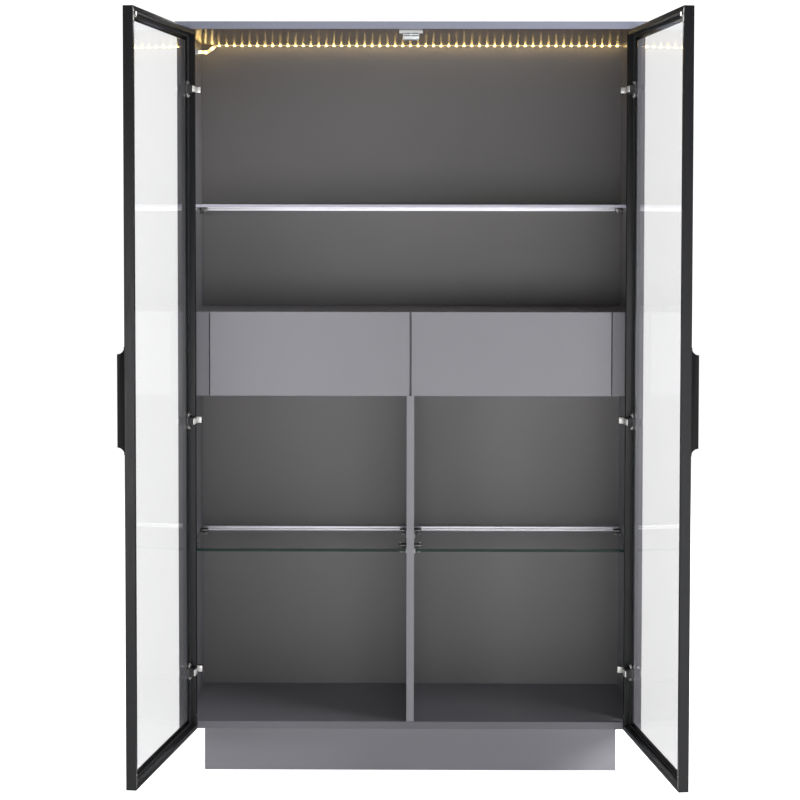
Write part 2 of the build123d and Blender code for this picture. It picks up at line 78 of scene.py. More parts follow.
# --------------------------------------------------------------------------------------
# finishes
# --------------------------------------------------------------------------------------
class NodeBench:
    """A node tree under construction, with short ways to add to it."""

    def __init__(self, tree: bpy.types.NodeTree) -> None:
        """Take up a tree."""
        self.tree = tree

    def node(self, kind: str, **settings: object) -> bpy.types.Node:
        """Add a node and set its properties.

        Args:
            kind: the node's type name.
            settings: properties to set on it.

        Returns:
            The new node.
        """
        made = self.tree.nodes.new(kind)
        for key, value in settings.items():
            setattr(made, key, value)
        return made

    def link(self, start: bpy.types.NodeSocket, end: bpy.types.NodeSocket) -> None:
        """Join two sockets."""
        self.tree.links.new(start, end)

    def span(
        self, value: bpy.types.NodeSocket, low: float, high: float, new_low: float, new_high: float
    ) -> bpy.types.NodeSocket:
        """A value carried from one range to another.

        Args:
            value: the socket to read.
            low: the old range's start.
            high: the old range's end.
            new_low: the new range's start.
            new_high: the new range's end.

        Returns:
            The new value's socket.
        """
        made = self.node("ShaderNodeMapRange")
        for key, number in zip(("From Min", "From Max", "To Min", "To Max"), (low, high, new_low, new_high)):
            made.inputs[key].default_value = number
        self.link(value, made.inputs["Value"])
        return made.outputs["Result"]

    def sums(self, operation: str, first: object, second: object) -> bpy.types.NodeSocket:
        """One arithmetic step.

        Args:
            operation: what to do, as Blender names it.
            first: a number or a socket.
            second: a number or a socket.

        Returns:
            The result's socket.
        """
        made = self.node("ShaderNodeMath", operation=operation)
        for socket, value in zip(made.inputs, (first, second)):
            if isinstance(value, bpy.types.NodeSocket):
                self.link(value, socket)
            else:
                socket.default_value = value
        return made.outputs["Value"]

    def seen_through(self, path: bpy.types.Node) -> bpy.types.NodeSocket:
        """Whether a ray has come straight through glass and lit nothing on its way.

        Args:
            path: the tree's light path node.

        Returns:
            The socket, 1 or 0.
        """
        direct = self.sums("LESS_THAN", path.outputs["Diffuse Depth"], 0.5)
        return self.sums("MULTIPLY", path.outputs["Is Transmission Ray"], direct)


class Shader(NodeBench):
    """A node material under construction, with what the finishes share."""

    def __init__(self, name: str) -> None:
        """Start an empty material.

        Args:
            name: the material's name.
        """
        self.material = bpy.data.materials.new(name)
        self.material.use_nodes = True
        super().__init__(self.material.node_tree)
        self.tree.nodes.clear()
        self.output = self.node("ShaderNodeOutputMaterial")
        self.body = self.node("ShaderNodeBsdfPrincipled")
        self.link(self.body.outputs["BSDF"], self.output.inputs["Surface"])

    def place(self, stretch: Point = (1.0, 1.0, 1.0)) -> bpy.types.NodeSocket:
        """Object coordinates, stretched along each axis."""
        where = self.node("ShaderNodeTexCoord")
        mapping = self.node("ShaderNodeMapping")
        mapping.inputs["Scale"].default_value = stretch
        self.link(where.outputs["Object"], mapping.inputs["Vector"])
        return mapping.outputs["Vector"]

    def noise(
        self, vector: bpy.types.NodeSocket, scale: float, detail: float = 2.0, roughness: float = 0.5
    ) -> bpy.types.NodeSocket:
        """A noise pattern's factor.

        Args:
            vector: where it is read.
            scale: cycles a metre.
            detail: octaves.
            roughness: how strong the finer octaves are.

        Returns:
            The factor socket.
        """
        made = self.node("ShaderNodeTexNoise")
        made.inputs["Scale"].default_value = scale
        made.inputs["Detail"].default_value = detail
        made.inputs["Roughness"].default_value = roughness
        self.link(vector, made.inputs["Vector"])
        return made.outputs["Fac"]

    def blend(self, factor: bpy.types.NodeSocket, first: object, second: object) -> bpy.types.NodeSocket:
        """A mix of two colours.

        Args:
            factor: the share of the second.
            first: a colour or a colour socket.
            second: a colour or a colour socket.

        Returns:
            The mixed colour's socket.
        """
        made = self.node("ShaderNodeMix", data_type="RGBA")
        self.link(factor, made.inputs["Factor"])
        for name, colour in (("A", first), ("B", second)):
            socket = [s for s in made.inputs if s.name == name and s.type == "RGBA"][0]
            if isinstance(colour, bpy.types.NodeSocket):
                self.link(colour, socket)
            else:
                socket.default_value = (*colour, 1.0)
        return [s for s in made.outputs if s.type == "RGBA"][0]

    def bump(
        self, height: bpy.types.NodeSocket, depth: float, under: Optional[bpy.types.NodeSocket] = None
    ) -> bpy.types.NodeSocket:
        """A surface relief.

        Args:
            height: the relief's pattern, 0 to 1.
            depth: its depth in metres.
            under: a normal that it lies on.

        Returns:
            The normal socket.
        """
        made = self.node("ShaderNodeBump")
        made.inputs["Distance"].default_value = depth
        self.link(height, made.inputs["Height"])
        if under is not None:
            self.link(under, made.inputs["Normal"])
        return made.outputs["Normal"]

    def lamps_pass(self, tint: Point) -> None:
        """Let light from lamps through what would otherwise be dark glass.

        Args:
            tint: the colour that gets through.
        """
        path = self.node("ShaderNodeLightPath")
        clear = self.node("ShaderNodeBsdfTransparent")
        clear.inputs["Color"].default_value = (*tint, 1.0)
        mix = self.node("ShaderNodeMixShader")
        self.link(path.outputs["Is Shadow Ray"], mix.inputs[0])
        self.link(self.body.outputs["BSDF"], mix.inputs[1])
        self.link(clear.outputs["BSDF"], mix.inputs[2])
        self.link(mix.outputs["Shader"], self.output.inputs["Surface"])


@dataclass(frozen=True)
class Laminate:
    """Satin grey melamine on board: fine pebble, faint clouding, a soft sheen."""

    name: str = "laminate_grey"
    tone: tuple = (0.262, 0.256, 0.284)
    cloud: tuple = (0.268, 0.262, 0.289)
    fleck: tuple = (0.250, 0.245, 0.273)
    gloss: float = 0.32
    gloss_swing: float = 0.015
    pebble: float = 1500.0
    pebble_depth: float = 0.000002
    peel_depth: float = 0.00001
    drag: float = 0.0

    def build(self) -> bpy.types.Material:
        """The node material."""
        s = Shader(self.name)
        at = s.place()
        clouds = s.noise(at, 1.6, 1.0)
        flecks = s.span(s.noise(at, 420.0, 3.0, 0.7), 0.52, 0.72, 0.0, 0.55)
        s.link(s.blend(flecks, s.blend(clouds, self.tone, self.cloud), self.fleck), s.body.inputs["Base Color"])
        smears = s.noise(at, 6.0, 1.0)
        rough = s.span(smears, 0.2, 0.8, self.gloss - self.gloss_swing, self.gloss + self.gloss_swing)
        s.link(rough, s.body.inputs["Roughness"])
        peel = s.bump(s.noise(at, 170.0, 1.0), self.peel_depth)
        s.link(s.bump(s.noise(at, self.pebble, 1.0), self.pebble_depth, peel), s.body.inputs["Normal"])
        s.body.inputs["IOR"].default_value = 1.5
        if self.drag:
            s.body.inputs["Anisotropic"].default_value = self.drag
            pull = s.node("ShaderNodeTangent", direction_type="UV_MAP", uv_map="pull")
            s.link(pull.outputs["Tangent"], s.body.inputs["Tangent"])
        return s.material


@dataclass(frozen=True)
class Hardboard:
    """The thin back: grey foil in front, raw brown fibre behind."""

    name: str = "back_board"
    foil: tuple = (0.1887, 0.1802, 0.1853)
    foil_cloud: tuple = (0.2006, 0.1904, 0.1938)
    fibre: tuple = (0.2550, 0.1742, 0.1062)
    fibre_dark: tuple = (0.1785, 0.1148, 0.0680)
    gloss: float = 0.36
    rear_gloss: float = 0.86
    foil_relief: float = 0.12
    strand_depth: float = 0.0002
    peel_depth: float = 0.00005

    def build(self) -> bpy.types.Material:
        """The node material."""
        s = Shader(self.name)
        at = s.place()
        clouds = s.span(s.noise(at, 2.4, 3.0, 0.5), 0.35, 0.65, 0.0, 1.0)
        front = s.blend(clouds, self.foil, self.foil_cloud)
        strands = s.span(s.noise(s.place((1.0, 1.0, 3.5)), 260.0, 6.0, 0.75), 0.36, 0.64, 0.0, 1.0)
        rear = s.blend(strands, self.fibre, self.fibre_dark)
        where = s.node("ShaderNodeTexCoord")
        split = s.node("ShaderNodeSeparateXYZ")
        s.link(where.outputs["Normal"], split.inputs["Vector"])
        behind = s.span(split.outputs["Y"], -0.1, 0.1, 0.0, 1.0)
        s.link(s.blend(behind, front, rear), s.body.inputs["Base Color"])
        s.link(s.span(behind, 0.0, 1.0, self.gloss, self.rear_gloss), s.body.inputs["Roughness"])
        relief = s.sums("MULTIPLY", strands, s.span(behind, 0.0, 1.0, self.foil_relief, 1.0))
        peel = s.bump(s.noise(at, 150.0, 1.0), self.peel_depth)
        s.link(s.bump(relief, self.strand_depth, peel), s.body.inputs["Normal"])
        return s.material


@dataclass(frozen=True)
class DrawnMetal:
    """Metal with fine lines along it, bare, plated or anodised."""

    name: str
    tone: tuple
    shade: tuple
    grain: Grain
    metallic: float = 1.0
    gloss: float = 0.3
    gloss_swing: float = 0.08
    line_depth: float = 0.00002
    shine: float = 0.5

    def build(self) -> bpy.types.Material:
        """The node material."""
        s = Shader(self.name)
        lines = s.noise(s.place(self.grain.value), 2.0, 5.0, 0.65)
        patches = s.span(s.noise(s.place(), 14.0, 3.0), 0.3, 0.7, 0.0, 1.0)
        mixed = s.sums("MULTIPLY", s.span(lines, 0.3, 0.7, 0.2, 1.0), s.span(patches, 0.0, 1.0, 0.6, 1.0))
        s.link(s.blend(mixed, self.shade, self.tone), s.body.inputs["Base Color"])
        rough = s.span(lines, 0.3, 0.7, self.gloss - self.gloss_swing, self.gloss + self.gloss_swing)
        s.link(rough, s.body.inputs["Roughness"])
        s.link(s.bump(lines, self.line_depth), s.body.inputs["Normal"])
        s.body.inputs["Metallic"].default_value = self.metallic
        s.body.inputs["Specular IOR Level"].default_value = self.shine
        return s.material


@dataclass(frozen=True)
class Plating:
    """Bright plated steel with a little tarnish."""

    name: str
    tone: tuple = (0.78, 0.77, 0.74)
    tarnish: tuple = (0.50, 0.49, 0.47)
    gloss: float = 0.2
    gloss_swing: float = 0.07
    metallic: float = 1.0

    def build(self) -> bpy.types.Material:
        """The node material."""
        s = Shader(self.name)
        at = s.place()
        patches = s.span(s.noise(at, 160.0, 5.0, 0.6), 0.45, 0.75, 0.0, 1.0)
        s.link(s.blend(patches, self.tone, self.tarnish), s.body.inputs["Base Color"])
        rough = s.span(s.noise(at, 500.0, 3.0), 0.3, 0.7, self.gloss - self.gloss_swing, self.gloss + self.gloss_swing)
        s.link(rough, s.body.inputs["Roughness"])
        s.link(s.bump(s.noise(at, 700.0, 2.0), 0.00002), s.body.inputs["Normal"])
        s.body.inputs["Metallic"].default_value = self.metallic
        return s.material


@dataclass(frozen=True)
class Moulded:
    """Moulded plastic, rubber or a painted coat: matt grain and faint mottling."""

    name: str
    tone: tuple
    mottle: tuple
    gloss: float = 0.45
    grain: float = 1100.0
    grain_depth: float = 0.00004

    def build(self) -> bpy.types.Material:
        """The node material."""
        s = Shader(self.name)
        at = s.place()
        s.link(
            s.blend(s.span(s.noise(at, 90.0, 4.0, 0.6), 0.35, 0.65, 0.0, 1.0), self.tone, self.mottle),
            s.body.inputs["Base Color"],
        )
        rough = s.span(s.noise(at, 240.0, 3.0), 0.3, 0.7, self.gloss - 0.05, self.gloss + 0.08)
        s.link(rough, s.body.inputs["Roughness"])
        s.link(s.bump(s.noise(at, self.grain, 2.0), self.grain_depth), s.body.inputs["Normal"])
        return s.material


@dataclass(frozen=True)
class ClearGlass:
    """Float glass with the faintest smears on it."""

    name: str
    tint: tuple = (0.995, 0.998, 0.998)
    lamp_tint: tuple = (0.93, 0.94, 0.94)
    smear: tuple = (0.97, 0.98, 0.98)
    ior: float = 1.5

    def build(self) -> bpy.types.Material:
        """The node material."""
        s = Shader(self.name)
        at = s.place()
        smears = s.span(s.noise(s.place((1.0, 1.0, 0.4)), 16.0, 4.0, 0.6), 0.5, 0.8, 0.0, 1.0)
        s.link(s.blend(smears, self.tint, self.smear), s.body.inputs["Base Color"])
        s.body.inputs["Roughness"].default_value = 0.0
        s.body.inputs["Transmission Weight"].default_value = 1.0
        s.body.inputs["IOR"].default_value = self.ior
        s.lamps_pass(self.lamp_tint)
        return s.material


@dataclass(frozen=True)
class GroundEdge:
    """The ground edge of float glass, where its green shows."""

    name: str = "glass_edge"
    deep: tuple = (0.004, 0.018, 0.013)
    pale: tuple = (0.009, 0.034, 0.026)

    def build(self) -> bpy.types.Material:
        """The node material."""
        s = Shader(self.name)
        streaks = s.noise(s.place((8.0, 8.0, 260.0)), 4.0, 3.0)
        s.link(s.blend(s.span(streaks, 0.35, 0.65, 0.0, 1.0), self.deep, self.pale), s.body.inputs["Base Color"])
        s.link(s.span(streaks, 0.3, 0.7, 0.12, 0.3), s.body.inputs["Roughness"])
        s.body.inputs["Specular IOR Level"].default_value = 0.25
        s.link(s.bump(s.noise(s.place(), 900.0, 1.0), 0.00002), s.body.inputs["Normal"])
        return s.material


@dataclass(frozen=True)
class GlowingLens:
    """The phosphor of a light chip that is on: hottest in the middle of each grain."""

    name: str = "warm_lens"
    hot: tuple = (1.0, 0.80, 0.42)
    cool: tuple = (1.0, 0.66, 0.26)
    power: float = 17.0

    def build(self) -> bpy.types.Material:
        """The node material."""
        s = Shader(self.name)
        grains = s.noise(s.place(), 1400.0, 2.0)
        s.link(s.blend(grains, self.cool, self.hot), s.body.inputs["Emission Color"])
        s.body.inputs["Emission Strength"].default_value = self.power
        s.link(s.blend(grains, (0.8, 0.62, 0.2), (0.9, 0.75, 0.3)), s.body.inputs["Base Color"])
        s.body.inputs["Roughness"].default_value = 0.35
        return s.material


@dataclass(frozen=True)
class CircuitTape:
    """The pale flexible strip under the light chips, with a cut line every third chip."""

    name: str = "light_tape"
    film: tuple = (0.86, 0.80, 0.62)
    mark: tuple = (0.55, 0.33, 0.12)
    cut_pitch: float = 3 * 17.6 * MM
    mark_width: float = 1.2 * MM
    # Strength of the tape's painted glow.
    power: float = 0.35

    def build(self) -> bpy.types.Material:
        """The node material; its marks follow the strip's own length map."""
        s = Shader(self.name)
        uv = s.node("ShaderNodeUVMap", uv_map="run")
        split = s.node("ShaderNodeSeparateXYZ")
        s.link(uv.outputs["UV"], split.inputs["Vector"])
        phase = s.sums("WRAP", split.outputs["X"], self.cut_pitch)
        mark = s.sums("LESS_THAN", phase, self.mark_width)
        grains = s.span(s.noise(s.place(), 900.0, 2.0), 0.3, 0.7, 0.0, 0.25)
        film = s.blend(grains, self.film, (0.75, 0.66, 0.45))
        s.link(s.blend(mark, film, self.mark), s.body.inputs["Base Color"])
        # The tape's faint warm emission is painted light: the tape itself is no lamp.
        s.link(s.blend(grains, (1.0, 0.80, 0.45), (1.0, 0.70, 0.35)), s.body.inputs["Emission Color"])
        s.body.inputs["Emission Strength"].default_value = self.power
        s.body.inputs["Roughness"].default_value = 0.4
        s.link(s.bump(s.noise(s.place(), 1300.0, 1.0), 0.00002), s.body.inputs["Normal"])
        return s.material


class Palette:
    """Every finish of the cabinet, built once."""

    def __init__(self) -> None:
        """Build the materials."""
        self.laminate = Laminate().build()
        # A darker copy of the laminate for the front faces of the bottom, side and filler boards: painted shade.
        self.band = Laminate(
            "laminate_band", (0.152, 0.150, 0.170), (0.158, 0.156, 0.176), (0.144, 0.142, 0.161)
        ).build()
        # A darker, bluer copy of the laminate for the top board's front face: painted shade.
        self.top_band = Laminate(
            "laminate_top_band", (0.236, 0.250, 0.315), (0.244, 0.258, 0.324), (0.224, 0.238, 0.300)
        ).build()
        # The top's underside: a darker, warm brown copy of the laminate, which is painted shade and painted warm light
        # from the strip; its pulled sheen is anisotropic gloss.
        self.ceiling = Laminate(
            "laminate_ceiling", (0.15, 0.096, 0.066), (0.178, 0.124, 0.093), (0.16, 0.112, 0.084),
            gloss=0.16, peel_depth=0.0, pebble_depth=0.0, drag=1.0,
        ).build()
        self.back = Hardboard().build()
        self.drawer_board = Laminate(
            "drawer_board", (0.36, 0.355, 0.37), (0.40, 0.39, 0.40), (0.31, 0.31, 0.33), gloss=0.42
        ).build()
        self.rail = DrawnMetal(
            "satin_aluminium", (0.96, 0.94, 1.0), (0.88, 0.86, 0.94), Grain.ALONG_X, metallic=0.6, gloss=0.36
        ).build()
        self.frame_upright, self.frame_cross = [
            DrawnMetal(name, (0.010, 0.0105, 0.0125), (0.006, 0.006, 0.007), grain, 0.3, 0.36).build()
            for name, grain in (("black_aluminium_upright", Grain.ALONG_Z), ("black_aluminium_cross", Grain.ALONG_Y))
        ]
        self.handle = DrawnMetal(
            "black_handle", (0.008, 0.008, 0.009), (0.005, 0.005, 0.0055), Grain.ALONG_Z, 0.1, 0.5, shine=0.22
        ).build()
        self.nickel = Plating("nickel").build()
        self.dark_nickel = Plating("dark_nickel", (0.10, 0.10, 0.105), (0.045, 0.045, 0.05), 0.32).build()
        # Pale, half-metallic plating for small bright faces: its pale colour is a painted highlight in place of
        # chrome's reflections.
        self.bright = Plating("satin_nickel", (0.90, 0.89, 0.86), (0.74, 0.73, 0.70), 0.3, metallic=0.35).build()
        self.pewter = Plating("pewter", (0.30, 0.29, 0.29), (0.20, 0.195, 0.195), 0.35).build()
        self.zinc = DrawnMetal("zinc_steel", (0.62, 0.64, 0.67), (0.46, 0.48, 0.50), Grain.ALONG_Y, gloss=0.33).build()
        self.white_plastic = Moulded("white_plastic", (0.82, 0.84, 0.86), (0.74, 0.76, 0.79), 0.35).build()
        self.rubber = Moulded("rubber", (0.016, 0.016, 0.017), (0.028, 0.028, 0.030), 0.6, 700.0).build()
        self.pad = Moulded("clear_pad", (0.55, 0.56, 0.58), (0.45, 0.46, 0.48), 0.25).build()
        self.door_glass = ClearGlass("door_glass", lamp_tint=(0.45, 0.46, 0.47), ior=1.2).build()
        self.shelf_glass = ClearGlass(
            "shelf_glass", (0.95, 0.975, 0.965), lamp_tint=(0.86, 0.89, 0.88), smear=(0.93, 0.96, 0.95)
        ).build()
        self.edge = GroundEdge().build()
        # A pale copy of the ground glass edge for the upper shelf: painted light.
        self.bright_edge = GroundEdge("bright_edge", (0.60, 0.585, 0.70), (0.66, 0.64, 0.75)).build()
        self.pane_edge = GroundEdge("pane_edge", (0.05, 0.08, 0.07), (0.12, 0.18, 0.16)).build()
        self.lens = GlowingLens().build()
        self.package = GlowingLens("warm_package", (1.0, 0.74, 0.26), (1.0, 0.64, 0.18), 15.0).build()
        self.tape = CircuitTape().build()


# --------------------------------------------------------------------------------------
# mesh making
# --------------------------------------------------------------------------------------
def soften(mesh: bpy.types.Mesh) -> None:
    """Shade a mesh smooth but for its real corners.

    Args:
        mesh: the mesh to shade.
    """
    mesh.polygons.foreach_set("use_smooth", [True] * len(mesh.polygons))
    mesh.set_sharp_from_angle(angle=SHARP_BEND)


def stand(name: str, mesh: bpy.types.Mesh, body: str, replaced: Iterable[str] = ()) -> bpy.types.Object:
    """Put a finished mesh in the scene as a piece that rides on a body.

    Args:
        name: the piece's name.
        mesh: its mesh, in the row frame.
        body: the CAD body it rides on.
        replaced: the CAD nodes that it stands for.

    Returns:
        The piece.
    """
    mesh.name = name
    piece = bpy.data.objects.new(name, mesh)
    bpy.context.scene.collection.objects.link(piece)
    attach(piece, body)
    nodes = list(replaced)
    if nodes:
        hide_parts(*nodes)
    LOG.info("%s rides on %s, %d faces", name, body, len(mesh.polygons))
    return piece


def merged_copy(node: str) -> bmesh.types.BMesh:
    """A CAD node's mesh with its loose triangles joined into clean faces.

    Args:
        node: the node's name.

    Returns:
        The joined mesh.
    """
    shape = bmesh.new()
    shape.from_mesh(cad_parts[node].data)
    bmesh.ops.remove_doubles(shape, verts=shape.verts, dist=2e-6)
    bmesh.ops.dissolve_limit(shape, angle_limit=math.radians(0.5), verts=shape.verts, edges=shape.edges)
    return shape


def islands(shape: bmesh.types.BMesh) -> list:
    """A mesh's separate solids.

    Args:
        shape: the mesh.

    Returns:
        A list of corners for each solid, in the mesh's own order.
    """
    seen, found = set(), []
    for start in shape.verts:
        if start in seen:
            continue
        seen.add(start)
        island = [start]
        for vert in island:
            for edge in vert.link_edges:
                other = edge.other_vert(vert)
                if other not in seen:
                    seen.add(other)
                    island.append(other)
        found.append(island)
    return found


def solids_of(node: str) -> list:
    """The boxes of a CAD node's separate solids.

    Args:
        node: the node's name.

    Returns:
        (lowest corner, highest corner) of each, ordered by where they start along Z, Y, X.
    """
    shape = merged_copy(node)
    boxes = [
        (Vector(min(v.co[i] for v in island) for i in range(3)), Vector(max(v.co[i] for v in island) for i in range(3)))
        for island in islands(shape)
    ]
    shape.free()
    return sorted(boxes, key=lambda b: tuple(round(v, 4) for v in (b[0].z, b[0].y, b[0].x)))


def circle(radius: float, height: float, sides: int) -> list:
    """The corners of a level ring."""
    steps = [k * math.tau / sides for k in range(sides)]
    return [(radius * math.cos(step), radius * math.sin(step), height) for step in steps]


def loft(shape: bmesh.types.BMesh, profile: Sequence[Point], sides: int) -> list:
    """Rings of corners round Z with faces between them.

    Args:
        shape: the mesh that they are added to.
        profile: (height, radius) of each ring.
        sides: how many faces go round.

    Returns:
        The rings.
    """
    rings = [[shape.verts.new(corner) for corner in circle(radius, height, sides)] for height, radius in profile]
    for ring, following in zip(rings, rings[1:]):
        for k in range(sides):
            n = (k + 1) % sides
            shape.faces.new((ring[k], ring[n], following[n], following[k]))
    return rings


class Former:
    """Collects shaped solids and makes one piece of them."""

    def __init__(self) -> None:
        """Start with nothing."""
        self.shape = bmesh.new()
        self.finishes: list = []

    def add(self, part: bmesh.types.BMesh, finish: bpy.types.Material, turn: Matrix = Matrix.Identity(4)) -> None:
        """Take in one solid.

        Args:
            part: the solid, which is freed.
            finish: its material.
            turn: where it goes.
        """
        if finish not in self.finishes:
            self.finishes.append(finish)
        bmesh.ops.transform(part, matrix=turn, verts=part.verts)
        for face in part.faces:
            face.material_index = self.finishes.index(finish)
        bmesh.ops.recalc_face_normals(part, faces=part.faces)
        carried = bpy.data.meshes.new("carried")
        part.to_mesh(carried)
        part.free()
        self.shape.from_mesh(carried)
        bpy.data.meshes.remove(carried)

    def block(self, low: Point, high: Point, finish: bpy.types.Material, rounding: float = 0.0, steps: int = 2) -> None:
        """A box with rounded edges.

        Args:
            low: one corner.
            high: the other corner.
            finish: its material.
            rounding: the edges' radius.
            steps: how many faces make a rounded edge.
        """
        part = bmesh.new()
        bmesh.ops.create_cube(part, size=1.0)
        sizes = [abs(b - a) for a, b in zip(low, high)]
        middle = [(a + b) / 2 for a, b in zip(low, high)]
        bmesh.ops.transform(part, matrix=Matrix.Diagonal((*sizes, 1.0)), verts=part.verts)
        if rounding:
            bmesh.ops.bevel(
                part, geom=part.edges[:], offset=min(rounding, min(sizes) * 0.45), segments=steps,
                profile=0.5, affect="EDGES", clamp_overlap=True,
            )
        self.add(part, finish, Matrix.Translation(middle))

    def turned(
        self, profile: Sequence[Point], start: Point, aim: Point, finish: bpy.types.Material, sides: int = 28
    ) -> None:
        """A solid of revolution.

        Args:
            profile: (distance along the axis, radius) pairs from end to end.
            start: where the axis begins.
            aim: which way it runs.
            finish: its material.
            sides: how many faces go round.
        """
        part = bmesh.new()
        rings = loft(part, profile, sides)
        part.faces.new(rings[0][::-1])
        part.faces.new(rings[-1])
        bmesh.ops.remove_doubles(part, verts=part.verts, dist=1e-7)
        turn = Vector((0, 0, 1)).rotation_difference(Vector(aim).normalized()).to_matrix().to_4x4()
        self.add(part, finish, Matrix.Translation(start) @ turn)

    def extruded(
        self, outline: Sequence[Point], start: Point, across: Point, up: Point, length: float,
        finish: bpy.types.Material, rounding: float = 0.0,
    ) -> None:
        """A flat outline given a thickness.

        Args:
            outline: corners in the (across, up) plane, anticlockwise.
            start: where the outline's zero lies.
            across: the outline's first direction.
            up: its second direction.
            length: how far it runs along across x up.
            finish: its material.
            rounding: the edges' radius.
        """
        part = bmesh.new()
        a, u = Vector(across).normalized(), Vector(up).normalized()
        n = a.cross(u)
        bottom = [part.verts.new(Vector(start) + a * x + u * y) for x, y in outline]
        face = part.faces.new(bottom)
        moved = bmesh.ops.extrude_face_region(part, geom=[face])["geom"]
        bmesh.ops.translate(part, vec=n * length, verts=[v for v in moved if isinstance(v, bmesh.types.BMVert)])
        bmesh.ops.recalc_face_normals(part, faces=part.faces)
        if rounding:
            bmesh.ops.bevel(
                part, geom=part.edges[:], offset=rounding, segments=2, profile=0.5, affect="EDGES", clamp_overlap=True
            )
        self.add(part, finish)

    def move(self, matrix: Matrix) -> None:
        """Carry everything so far to another place, and keep its faces outward."""
        bmesh.ops.transform(self.shape, matrix=matrix, verts=self.shape.verts)
        if matrix.determinant() < 0:
            bmesh.ops.reverse_faces(self.shape, faces=self.shape.faces)

    def mesh(self, name: str) -> bpy.types.Mesh:
        """Everything so far as one plain mesh.

        Args:
            name: the mesh's name.

        Returns:
            The mesh with its finishes in its slots.
        """
        made = bpy.data.meshes.new(name)
        self.shape.to_mesh(made)
        self.shape.free()
        for finish in self.finishes:
            made.materials.append(finish)
        soften(made)
        return made


@dataclass
class BoardDresser:
    """Turns CAD boards and bars into pieces with eased edges."""

    easing: float = 0.5 * MM
    steps: int = 2
    bend: float = math.radians(40)

    def dress(
        self, node: str, body: str, slot: str, finish: bpy.types.Material, easing: Optional[float] = None
    ) -> bpy.types.Object:
        """One piece in place of one CAD node, its sharp edges eased.

        Args:
            node: the CAD node.
            body: the body it rides on.
            slot: the record's material slot; not used.
            finish: its material.
            easing: the edges' radius, where it isn't the usual one.

        Returns:
            The piece.
        """
        shape = merged_copy(node)
        width = self.easing if easing is None else easing
        sharp = [e for e in shape.edges if len(e.link_faces) == 2 and e.calc_face_angle(0.0) > self.bend]
        bmesh.ops.bevel(
            shape, geom=sharp, offset=width, segments=self.steps, profile=0.5, affect="EDGES", clamp_overlap=True
        )
        made = bpy.data.meshes.new(node)
        shape.to_mesh(made)
        shape.free()
        made.materials.append(finish)
        soften(made)
        return stand(f"{node}.finished", made, body, [node])


